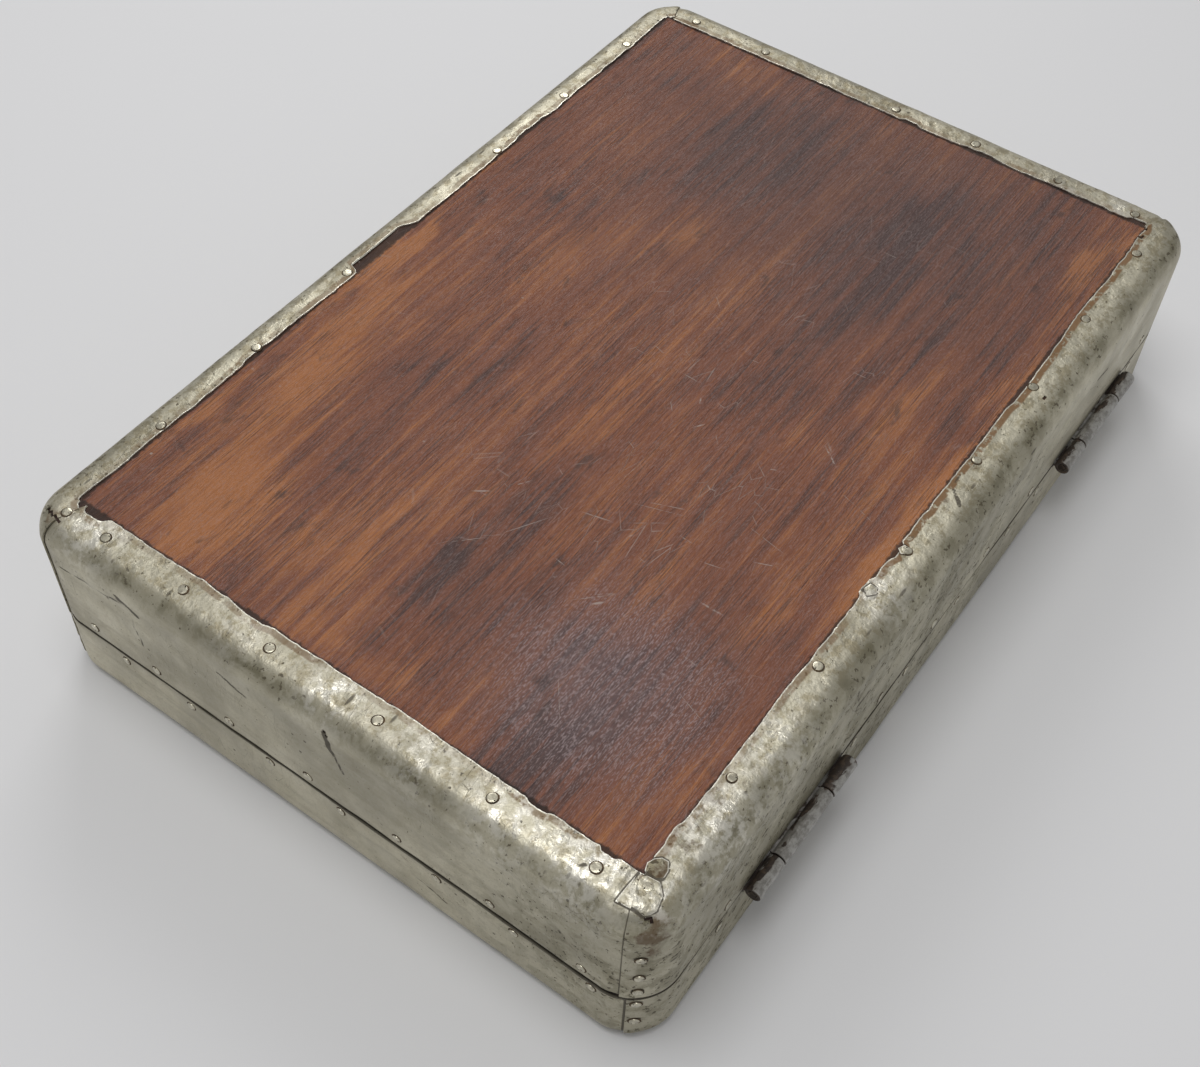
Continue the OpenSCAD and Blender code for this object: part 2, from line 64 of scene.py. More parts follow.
def box_mm(node):
    """Lowest and highest corner of a CAD node, in millimetres."""
    low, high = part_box(node)
    return np.array(low) / MM, np.array(high) / MM


HALF_L = box_mm("lid_right_clad")[1][0]
HALF_W = box_mm("lid_back_clad")[1][1]
LID_Z = box_mm("lid_back_clad")[0][2]
TOP_Z = box_mm("lid_back_clad")[1][2]
BASE_H = box_mm("base_back_clad")[1][2]
RIM = {
    "right": HALF_L - box_mm("lid_right_clad")[0][0],
    "left": HALF_L + box_mm("lid_left_clad")[1][0],
}
BORDERS = {"back": 13.0, "front": 10.7}
# The end sheets run on under the long ones by this angle round a corner
TUCK = math.radians(7)
# A distance that means "nowhere near" in the values painted on the sheets
FAR_OFF = 50.0
HINGES = {"left": "left_hinge_lid_leaf", "right": "right_hinge_lid_leaf"}


def length_prop(name, text, default):
    return FloatProperty(
        name=name, description=text, default=default * MM, min=0, subtype="DISTANCE", unit="LENGTH"
    )


def angle_prop(name, text, default):
    turn = math.radians(default)
    return FloatProperty(
        name=name, description=text, default=turn, min=0, subtype="ANGLE", unit="ROTATION"
    )


def colour_prop(name, text, default):
    return FloatVectorProperty(
        name=name, description=text, default=default, size=3, min=0, max=1, subtype="COLOR"
    )


class ChestSizes(bpy.types.PropertyGroup):
    """Sizes of the pieces that dress the CAD model"""

    corner_radius: length_prop("Corner radius", "Radius of the upright corners", 13.7)
    top_roll: length_prop("Top roll", "Radius of the rolled edge round the top", 7.2)
    bottom_roll: length_prop("Bottom roll", "Radius of the rolled edge round the bottom", 4.5)
    sheet_thickness: length_prop("Sheet thickness", "Thickness of the sheet metal", 0.4)
    rim_back: length_prop("Back border", "Width of the back border on top", BORDERS["back"])
    rim_front: length_prop("Front border", "Width of the front border on top", BORDERS["front"])
    rim_under: length_prop("Under border", "Width of the border under the base", 14.0)
    lid_seam: angle_prop("Lid seam", "Angle from the end to the lid's corner seams", 21)
    base_seam: angle_prop("Base seam", "Angle from the end to the base's corner seams", 29)
    waviness: length_prop("Waviness", "Height of the soft dents in the sheets", 0.16)
    pin_head: length_prop("Pin head", "Diameter of a pin's head", 2.8)
    pin_height: length_prop("Pin height", "Height of a pin's head", 0.3)
    barrel: length_prop("Hinge barrel", "Outer diameter of the hinge knuckles", 4.8)
    leaf_thickness: length_prop("Leaf thickness", "Thickness of a hinge leaf", 1.0)
    felt: length_prop("Felt thickness", "Thickness of the felt lining", 1.2)
    notches: IntProperty(name="Notches", description="Notches in each rack", default=7, min=1)
    notch_width: length_prop("Notch width", "Width of each notch in the racks", 13.0)


class ChestColours(bpy.types.PropertyGroup):
    """Colours of the chest's finishes"""

    metal: colour_prop("Sheet metal", "Clean nickelled sheet", (0.66, 0.62, 0.49))
    metal_dull: colour_prop("Dull metal", "Sheet under its haze", (0.45, 0.42, 0.33))
    rust: colour_prop("Stain", "Brown stain on the sheet", (0.115, 0.068, 0.030))
    # This colour makes the dark ring round each pin's head: dirt and painted shade
    grime_and_painted_shade: colour_prop("Grime", "Dark dirt in folds and round pins", (0.045, 0.032, 0.018))
    panel: colour_prop("Panel", "Red-brown wood of the lid's panel", (0.21, 0.070, 0.033))
    panel_dark: colour_prop("Dark panel", "Darkest parts of the panel", (0.070, 0.034, 0.028))
    panel_worn: colour_prop("Worn panel", "Wood where the stain is worn", (0.40, 0.150, 0.048))
    case: colour_prop("Case wood", "Wood of the walls", (0.16, 0.075, 0.035))
    rack: colour_prop("Rack wood", "Wood of the racks", (0.27, 0.13, 0.055))
    felt: colour_prop("Felt", "Felt lining", (0.030, 0.075, 0.040))
    paint: colour_prop("Hinge paint", "Chipped paint on the hinges", (0.40, 0.39, 0.365))
    steel: colour_prop("Steel", "Dark steel of hinges and screws", (0.045, 0.034, 0.028))
    brass: colour_prop("Brass", "Aged brass of the hook", (0.42, 0.27, 0.10))


def clear_selection():
    if bpy.context.mode != "OBJECT":
        bpy.ops.object.mode_set(mode="OBJECT")
    bpy.ops.object.select_all(action="DESELECT")


def pick(*objects):
    """Selects only these objects, the last of them active."""
    clear_selection()
    for item in objects:
        item.select_set(True)
    bpy.context.view_layer.objects.active = objects[-1]


def apply_modifier(item, kind, **settings):
    """Adds a modifier with these settings to a piece, and applies it."""
    pick(item)
    modifier = item.modifiers.new(kind.title(), kind)
    for key, value in settings.items():
        setattr(modifier, key, value)
    bpy.ops.object.modifier_apply(modifier=modifier.name)


def ease_edges(item, width, segments, degrees):
    """Rounds the edges that turn by more than an angle."""
    limit = {"limit_method": "ANGLE", "angle_limit": math.radians(degrees)}
    apply_modifier(item, "BEVEL", width=width, segments=segments, **limit)


def apply_place(item):
    pick(item)
    bpy.ops.object.transform_apply(location=True, rotation=True, scale=True)


def join(pieces, name):
    """Joins pieces into one mesh under a new name."""
    if len(pieces) > 1:
        pick(*pieces)
        bpy.ops.object.join()
    piece = bpy.context.view_layer.objects.active
    piece.name = name
    piece.data.name = name
    return piece


def copy_of(piece):
    twin = piece.copy()
    twin.data = piece.data.copy()
    bpy.context.scene.collection.objects.link(twin)
    return twin


def edit_whole(item, operator, **settings):
    """Runs one edit mode operator on all of a piece."""
    pick(item)
    bpy.ops.object.mode_set(mode="EDIT")
    bpy.ops.mesh.select_all(action="SELECT")
    operator(**settings)
    bpy.ops.object.mode_set(mode="OBJECT")


def edit_faces(item, wanted, operator, **settings):
    """Runs one edit mode operator on the faces of a piece that are wanted."""
    pick(item)
    bpy.ops.object.mode_set(mode="EDIT")
    bpy.ops.mesh.select_all(action="DESELECT")
    work = bmesh.from_edit_mesh(item.data)
    for face in work.faces:
        face.select_set(bool(wanted(face)))
    bmesh.update_edit_mesh(item.data)
    operator(**settings)
    bpy.ops.object.mode_set(mode="OBJECT")


def flat_grid(columns, rows):
    """A flat grid, with the column and the row of each of its vertices."""
    clear_selection()
    bpy.ops.mesh.primitive_grid_add(x_subdivisions=columns - 1, y_subdivisions=rows - 1, size=1)
    piece = bpy.context.active_object
    start = coords(piece) + 0.5
    column = np.round(start[:, 0] * (columns - 1)).astype(int)
    row = np.round(start[:, 1] * (rows - 1)).astype(int)
    return piece, column, row


def flat_outline(name, corners, split=False):
    """A piece with one flat face, or split into triangles, from its corners (x, y, z)."""
    mesh = bpy.data.meshes.new(name)
    piece = bpy.data.objects.new(name, mesh)
    bpy.context.scene.collection.objects.link(piece)
    work = bmesh.new()
    work.faces.new([work.verts.new(corner) for corner in corners])
    if split:
        bmesh.ops.triangulate(work, faces=work.faces)
    work.to_mesh(mesh)
    work.free()
    return piece


def paint_on(piece, values):
    """Keeps values for each vertex of a piece, which its material reads by name."""
    count = len(piece.data.vertices)
    for label, value in values.items():
        attribute = piece.data.attributes.new(label, "FLOAT", "POINT")
        attribute.data.foreach_set("value", np.full(count, value, np.float32))


def smooth(item, degrees=35):
    pick(item)
    bpy.ops.object.shade_smooth_by_angle(angle=math.radians(degrees))


def coords(item):
    flat = np.empty(len(item.data.vertices) * 3)
    item.data.vertices.foreach_get("co", flat)
    return flat.reshape(-1, 3)


def set_coords(item, points):
    item.data.vertices.foreach_set("co", np.asarray(points, float).ravel())
    item.data.update()


def wander(x, y, cell, seed):
    """Smooth random height from -1 to 1 over a plane, with lumps of the given size."""
    table = np.random.RandomState(seed).uniform(-1, 1, (64, 64))
    u, v = np.asarray(x) / cell + 7.3, np.asarray(y) / cell + 11.9
    i, j = np.floor(u).astype(int), np.floor(v).astype(int)
    p, q = u - i, v - j
    p, q = p * p * (3 - 2 * p), q * q * (3 - 2 * q)
    a, b = table[i % 64, j % 64], table[(i + 1) % 64, j % 64]
    c, d = table[i % 64, (j + 1) % 64], table[(i + 1) % 64, (j + 1) % 64]
    return (a * (1 - p) + b * p) * (1 - q) + (c * (1 - p) + d * p) * q


def ease(value, start, end):
    """Smooth step, from 0 at the start to 1 at the end."""
    t = np.clip((np.asarray(value, float) - start) / (end - start), 0, 1)
    return t * t * (3 - 2 * t)


def islands(node):
    """Vertices of each separate solid of a CAD node, in millimetres."""
    work = bmesh.new()
    work.from_mesh(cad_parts[node].data)
    bmesh.ops.remove_doubles(work, verts=work.verts, dist=1e-6)
    work.verts.ensure_lookup_table()
    seen, found = set(), []
    for start in work.verts:
        if start.index in seen:
            continue
        seen.add(start.index)
        stack, group = [start], []
        while stack:
            vertex = stack.pop()
            group.append(vertex.co[:])
            for edge in vertex.link_edges:
                other = edge.other_vert(vertex)
                if other.index not in seen:
                    seen.add(other.index)
                    stack.append(other)
        found.append(np.array(group) / MM)
    work.free()
    return found


def pin_seats(node, head_height):
    """Where each pin of a CAD node meets the sheet, and the way its head points."""
    seats = []
    for points in islands(node):
        middle = points.mean(0)
        axis = np.linalg.svd(points - middle, full_matrices=False)[2][0]
        along = (points - middle) @ axis
        far = np.linalg.norm(points - middle - np.outer(along, axis), axis=1)
        near_top = far[along > along.max() - 0.2].max()
        near_tail = far[along < along.min() + 0.2].max()
        if near_tail > near_top:
            axis, along = -axis, -along
        line = middle + axis * along.max()
        seats.append((line - axis * head_height, axis))
    return seats


class Finish:
    """Builds the node tree of one material."""

    def __init__(self, name):
        self.material = bpy.data.materials.new(name)
        self.material.use_nodes = True
        self.tree = self.material.node_tree
        self.tree.nodes.clear()
        output = self.tree.nodes.new("ShaderNodeOutputMaterial")
        self.shader = self.tree.nodes.new("ShaderNodeBsdfPrincipled")
        self.tree.links.new(self.shader.outputs["BSDF"], output.inputs["Surface"])
        place = self.tree.nodes.new("ShaderNodeTexCoord")
        self.place = place.outputs["Object"]

    def put(self, socket, value):
        if isinstance(value, bpy.types.NodeSocket):
            self.tree.links.new(value, socket)
        elif isinstance(value, tuple) and len(value) == 3 and socket.type == "RGBA":
            socket.default_value = (*value, 1)
        else:
            socket.default_value = value

    def set(self, **values):
        for key, value in values.items():
            self.put(self.shader.inputs[key.replace("_", " ")], value)

    def math(self, operation, first, second=0.0, clamp=False):
        node = self.tree.nodes.new("ShaderNodeMath")
        node.operation = operation
        node.use_clamp = clamp
        self.put(node.inputs[0], first)
        self.put(node.inputs[1], second)
        return node.outputs[0]

    def times(self, first, second, clamp=False):
        return self.math("MULTIPLY", first, second, clamp)

    def plus(self, first, second, clamp=False):
        return self.math("ADD", first, second, clamp)

    def minus(self, first, second, clamp=False):
        return self.math("SUBTRACT", first, second, clamp)

    def larger(self, first, second):
        return self.math("MAXIMUM", first, second)

    def mapped(self, scale, turn=(0, 0, 0), move=(0, 0, 0), source=None):
        node = self.tree.nodes.new("ShaderNodeMapping")
        self.put(node.inputs["Vector"], source or self.place)
        node.inputs["Scale"].default_value = scale
        node.inputs["Rotation"].default_value = turn
        node.inputs["Location"].default_value = move
        return node.outputs["Vector"]

    def noise(self, scale, detail=3.0, rough=0.5, source=None, distortion=0.0):
        node = self.tree.nodes.new("ShaderNodeTexNoise")
        self.put(node.inputs["Vector"], source or self.place)
        node.inputs["Scale"].default_value = scale
        node.inputs["Detail"].default_value = detail
        node.inputs["Roughness"].default_value = rough
        node.inputs["Distortion"].default_value = distortion
        return node.outputs["Fac"]

    def cells(self, scale, feature="F1", source=None):
        node = self.tree.nodes.new("ShaderNodeTexVoronoi")
        node.feature = feature
        self.put(node.inputs["Vector"], source or self.place)
        node.inputs["Scale"].default_value = scale
        return node.outputs["Distance"]

    def painted(self, name):
        node = self.tree.nodes.new("ShaderNodeAttribute")
        node.attribute_name = name
        return node.outputs["Fac"]

    def step(self, value, low, high, start=0.0, end=1.0):
        """Smooth step of a value between two limits."""
        node = self.tree.nodes.new("ShaderNodeMapRange")
        node.interpolation_type = "SMOOTHSTEP"
        self.put(node.inputs["Value"], value)
        self.put(node.inputs["From Min"], low)
        self.put(node.inputs["From Max"], high)
        self.put(node.inputs["To Min"], start)
        self.put(node.inputs["To Max"], end)
        return node.outputs["Result"]

    def mix(self, share, first, second):
        node = self.tree.nodes.new("ShaderNodeMix")
        node.data_type = "RGBA"
        self.put(node.inputs["Factor"], share)
        self.put(node.inputs[6], first)
        self.put(node.inputs[7], second)
        return node.outputs[2]

    def axes(self):
        node = self.tree.nodes.new("ShaderNodeSeparateXYZ")
        self.put(node.inputs[0], self.place)
        return node.outputs[0], node.outputs[1], node.outputs[2]

    def bump(self, height, distance, strength=1.0, normal=None):
        node = self.tree.nodes.new("ShaderNodeBump")
        self.put(node.inputs["Height"], height)
        node.inputs["Distance"].default_value = distance
        node.inputs["Strength"].default_value = strength
        if normal is not None:
            self.put(node.inputs["Normal"], normal)
        return node.outputs["Normal"]

    def vector(self, operation, first, second, output=0):
        node = self.tree.nodes.new("ShaderNodeVectorMath")
        node.operation = operation
        self.put(node.inputs[0], first)
        if operation == "SCALE":
            self.put(node.inputs["Scale"], second)
        elif second is not None:
            self.put(node.inputs[1], second)
        return node.outputs[output]

    def most(self, values):
        """Largest of several values."""
        total = values[0]
        for value in values[1:]:
            total = self.larger(total, value)
        return total

    def patch(self, place, size, turn=0.0, strength=1.0, inner=0.0, source=None):
        """Soft ellipse seen from above, from its strength in the middle to 0 at its edge."""
        node = self.tree.nodes.new("ShaderNodeMapping")
        node.vector_type = "TEXTURE"
        self.put(node.inputs["Vector"], source or self.place)
        node.inputs["Location"].default_value = (place[0] * MM, place[1] * MM, TOP_Z * MM)
        node.inputs["Rotation"].default_value = (0.0, 0.0, turn)
        node.inputs["Scale"].default_value = (size[0] * MM, size[1] * MM, 1.0)
        far = self.vector("LENGTH", node.outputs["Vector"], None, 1)
        return self.step(far, inner, 1.0, strength, 0.0)

    def wavering(self, scale, amount):
        """The place, shifted a little by noise, so that marks on it aren't straight."""
        node = self.tree.nodes.new("ShaderNodeTexNoise")
        self.put(node.inputs["Vector"], self.place)
        node.inputs["Scale"].default_value = scale
        node.inputs["Detail"].default_value = 2
        shift = self.vector("SUBTRACT", node.outputs["Color"], (0.5, 0.5, 0.5))
        shift = self.vector("SCALE", shift, amount * MM)
        return self.vector("ADD", self.place, shift)

    def scratches(self, scale, width, turn, reach):
        """Thin broken lines that cross at all angles."""
        warped = self.mapped((1, reach, 1), turn=turn)
        line = self.cells(scale, "DISTANCE_TO_EDGE", warped)
        thin = self.step(line, 0.0, width, 1.0, 0.0)
        breaks = self.step(self.noise(scale * 0.9, 2, 0.5), 0.52, 0.62)
        return self.times(thin, breaks)


def metal_finish(colours):
    look = Finish("aged_sheet_metal")
    stain = look.painted("stain")
    rub_and_highlight = look.painted("rub_and_highlight")
    grime_and_painted_shade = look.painted("grime_and_painted_shade")
    edge = look.painted("edge")
    strip = look.painted("strip")
    seam = look.painted("seam")
    top = look.step(edge, 6.5, 12.5, 1.0, 0.0)
    haze = look.step(look.noise(30, 4, 0.55), 0.34, 0.66)
    colour = look.mix(haze, tuple(colours.metal), tuple(colours.metal_dull))
    streaks = look.noise(1.0, 4, 0.6, source=look.mapped((20, 20, 230)))
    colour = look.mix(look.step(streaks, 0.48, 0.66, 0.0, 0.28), colour, (0.30, 0.27, 0.20))
    fleck = look.noise(1500, 3, 0.65)
    colour = look.mix(look.step(fleck, 0.54, 0.66, 0.0, 0.32), colour, (0.33, 0.30, 0.20))
    mottle = look.step(look.noise(330, 4, 0.68), 0.47, 0.60)
    mottle = look.times(mottle, look.step(top, 0.0, 1.0, 0.12, 0.55))
    colour = look.mix(mottle, colour, (0.29, 0.240, 0.138))

    # Olive haze and dark specks gather along the rolls. The same values also darken the metal as
    # painted shade, in a band round the top roll, at the sheets' ends and along the parting
    cluster = look.step(look.noise(150, 4, 0.65, distortion=0.4), 0.40, 0.60)
    amount = look.times(grime_and_painted_shade, look.step(cluster, 0.0, 1.0, 0.45, 1.0))
    colour = look.mix(look.times(amount, 0.80), colour, (0.135, 0.120, 0.060))
    speck = look.noise(700, 3, 0.6)
    speck_cut = look.minus(0.70, look.times(amount, 0.17))
    speck_cut = look.minus(speck_cut, look.times(top, 0.035))
    near_lip = look.step(edge, 0.6, 2.6, 1.0, 0.0)
    speck_cut = look.minus(speck_cut, look.times(near_lip, 0.05))
    specks = look.step(look.minus(speck, speck_cut), 0.0, 0.03)
    colour = look.mix(look.times(specks, 0.85), colour, (0.070, 0.055, 0.028))

    # Brown stains, and a stained strip just inside the border's edge along the back
    rough_stain = look.noise(210, 5, 0.72, distortion=0.3)
    stain_cut = look.minus(0.74, look.times(stain, 0.28))
    stained = look.step(look.minus(rough_stain, stain_cut), -0.10, 0.10)
    inside = look.times(look.step(edge, 0.25, 0.45), look.step(edge, 1.75, 2.3, 1.0, 0.0))
    strip_cut = look.step(look.noise(420, 4, 0.65), 0.36, 0.50)
    band = look.times(look.times(inside, strip), strip_cut)
    stained = look.larger(stained, look.times(band, 0.85))
    colour = look.mix(look.times(stained, 0.80), colour, tuple(colours.rust))
    colour = look.mix(look.times(band, 0.75), colour, (0.235, 0.120, 0.045))

    # Rubbed metal and painted highlights, and a thin line of burnish and painted highlight along the
    # border's cut edge
    rubbed_and_highlit = look.times(rub_and_highlight, look.step(look.noise(300, 4, 0.65), 0.42, 0.60), clamp=True)
    lip = look.step(edge, 0.12, 0.36, 1.0, 0.0)
    rubbed_and_highlit = look.larger(rubbed_and_highlit, look.times(lip, 0.85))
    colour = look.mix(look.times(rubbed_and_highlit, 0.9), colour, (0.86, 0.83, 0.74))
    marks = look.step(look.painted("mark"), 0.05, 0.42, 1.0, 0.0)
    hair = look.scratches(70, 0.010, (0.3, 0.2, 0.7), 6.0)
    marks = look.larger(marks, look.times(hair, 0.5))
    dashes = look.cells(1.0, source=look.mapped((60, 250, 250), turn=(0.0, 0.06, 0.05)))
    dashes = look.step(dashes, 0.07, 0.15, 1.0, 0.0)
    dashes = look.times(dashes, look.step(look.noise(48, 2, 0.5), 0.50, 0.58))
    marks = look.larger(marks, look.times(dashes, 0.85))
    # Painted shade: dark lines along the corner seams, in the parting along the rims and round the
    # laps
    gap = look.step(seam, 0.22, 0.46, 1.0, 0.0)
    marks = look.larger(marks, gap)
    colour = look.mix(look.times(marks, 0.85), colour, (0.060, 0.048, 0.032))

    dirt_and_shade = look.most([stained, specks, look.times(marks, 0.7)])
    roughness = look.step(look.noise(130, 3, 0.6), 0.3, 0.7, 0.42, 0.58)
    roughness = look.minus(roughness, look.times(rubbed_and_highlit, 0.16))
    roughness = look.plus(roughness, look.times(dirt_and_shade, 0.25), clamp=True)
    metallic = look.minus(0.86, look.times(dirt_and_shade, 0.70))
    metallic = look.minus(metallic, look.times(grime_and_painted_shade, 0.20), clamp=True)
    crumple = look.times(look.noise(230, 4, 0.6), top)
    normal = look.bump(crumple, 0.0009, 0.8)
    normal = look.bump(look.noise(110, 2, 0.5), 0.00022, 0.6, normal)
    normal = look.bump(look.noise(900, 3, 0.6), 0.00005, 0.7, normal)
    normal = look.bump(marks, -0.00012, 0.8, normal)
    look.set(Base_Color=colour, Metallic=metallic, Roughness=roughness, Normal=normal)
    return look.material


def pin_finish(colours):
    look = Finish("pin_metal")
    patch = look.step(look.noise(700, 3, 0.6), 0.4, 0.65)
    colour = look.mix(patch, tuple(colours.metal), tuple(colours.metal_dull))
    rust = look.step(look.noise(420, 4, 0.7), 0.56, 0.68)
    colour = look.mix(look.times(rust, 0.8), colour, tuple(colours.rust))
    metallic = look.minus(0.95, look.times(rust, 0.8))
    roughness = look.plus(0.30, look.times(rust, 0.35))
    normal = look.bump(look.noise(900, 2, 0.5), 0.00012, 0.7)
    look.set(Base_Color=colour, Metallic=metallic, Roughness=roughness, Normal=normal)
    return look.material


# The dark rings round the pins' heads: dirt and painted shade
def grime_and_painted_shade_finish(colours):
    look = Finish("pin_dirt_and_shade_ring")
    patch = look.noise(900, 3, 0.6)
    colour = look.mix(look.step(patch, 0.35, 0.7), tuple(colours.grime_and_painted_shade), tuple(colours.rust))
    look.set(Base_Color=colour, Roughness=0.85, Normal=look.bump(patch, 0.0001, 0.6))
    return look.material


def grain(look, along, across, seed=0.0, turned=False):
    """Long wood fibres: the grain runs along X, or along Y if turned."""
    stretch = (3, 1, 3) if turned else (1, 3, 3)
    warp = look.noise(9, 2, 0.5, source=look.mapped(stretch, move=(seed, 0, 0)))
    spread_out = look.tree.nodes.new("ShaderNodeCombineXYZ")
    look.put(spread_out.inputs[0 if turned else 1], look.times(warp, 0.004))
    look.put(spread_out.inputs[2], look.times(warp, 0.004))
    bent = look.vector("ADD", look.place, spread_out.outputs[0])
    scale = (across, along, across) if turned else (along, across, across)
    return look.mapped(scale, move=(seed, seed, 0), source=bent)


# Places on the panel where the stain is worn to orange, and where it is dark:
# middle (x, y), half sizes, turn in degrees and strength
WORN_PATCHES = [
    ((12, 87.5), (62, 6.5), 0, 1.5),
    ((-58, 86.5), (34, 3.4), 0, 0.7),
    ((-112, 83), (26, 6.0), -4, 1.3),
    ((12, -88.2), (34, 6.0), 0, 1.5),
    ((96, -90), (46, 5.0), 0, 0.9),
    ((118, -62), (34, 34), 0, 0.75),
    ((84, -22), (40, 22), 6, 0.45),
    ((70, -72), (60, 20), 0, 0.45),
    ((131, 10), (9, 50), 0, 0.6),
    ((108, 82), (22, 7), 0, 0.45),
    ((62, 74), (34, 9), 2, 0.55),
    ((-129, -40), (10, 46), 0, 0.35),
    ((-20, -50), (70, 16), 0, 0.35),
    ((-40, 60), (60, 14), 2, 0.35),
]
DARK_PATCHES = [
    ((108, 40), (40, 42), 20, 0.50),
    ((98, -2), (26, 14), 12, 0.6),
    ((60, 6), (30, 10), 8, 0.5),
    ((28, 44), (40, 20), 4, 0.45),
    ((-70, 36), (90, 62), 0, 1.1),
    ((-100, -30), (60, 66), 0, 0.95),
    ((34, -34), (30, 8), 6, 0.5),
    ((86, -56), (20, 7), 8, 0.6),
    ((66, -84), (30, 4), 0, 0.6),
    ((-30, -12), (40, 9), 2, 0.5),
    ((-40, 54), (34, 16), 4, 0.5),
    ((40, 66), (44, 9), 2, 0.45),
]
# Scratches on the panel: both ends (x, y) and half width
PANEL_SCRATCHES = [
    ((1.6, 8.6), (1.8, 15.0), 0.16),
    ((6.1, 18.2), (8.9, 19.6), 0.28),
    ((17.7, 22.3), (13.6, 25.1), 0.22),
    ((0.5, 55.1), (5.4, 61.4), 0.14),
    ((12.6, 67.7), (14.4, 73.9), 0.16),
    ((14.4, 73.9), (16.5, 79.9), 0.12),
    ((80.0, 34.1), (75.6, 39.6), 0.14),
    ((102.6, 40.1), (117.7, 52.0), 0.10),
    ((-28.2, 45.9), (-28.7, 54.4), 0.12),
    ((36.8, 51.0), (39.9, 69.0), 0.10),
    ((50.4, 21.7), (43.2, 42.5), 0.09),
    ((-78.0, 28.0), (-78.1, 36.6), 0.12),
    ((47.4, 26.0), (41.1, 41.1), 0.14),
    ((60.1, 14.8), (57.4, 25.5), 0.20),
    ((57.4, 25.5), (47.8, 38.2), 0.10),
    ((89.5, -6.2), (80.7, 2.2), 0.12),
    ((80.7, 2.2), (64.0, 11.9), 0.14),
    ((86.0, 29.5), (75.6, 39.7), 0.12),
    ((83.1, 35.3), (79.7, 38.3), 0.42),
    ((76.3, 19.2), (76.9, 23.7), 0.16),
    ((81.6, 22.5), (80.7, 23.7), 0.34),
    ((54.9, 49.1), (53.0, 56.8), 0.14),
    ((65.5, 56.7), (65.4, 64.9), 0.34),
    ((81.5, 62.1), (82.2, 67.9), 0.26),
    ((90.8, 66.8), (95.2, 79.3), 0.12),
    ((50.8, 40.8), (51.0, 45.8), 0.16),
    ((72.1, -12.1), (68.2, -6.9), 0.30),
    ((65.5, -5.1), (58.1, -0.3), 0.16),
    ((0.1, 54.8), (6.3, 62.8), 0.30),
    ((46.9, 60.5), (43.7, 68.0), 0.16),
]


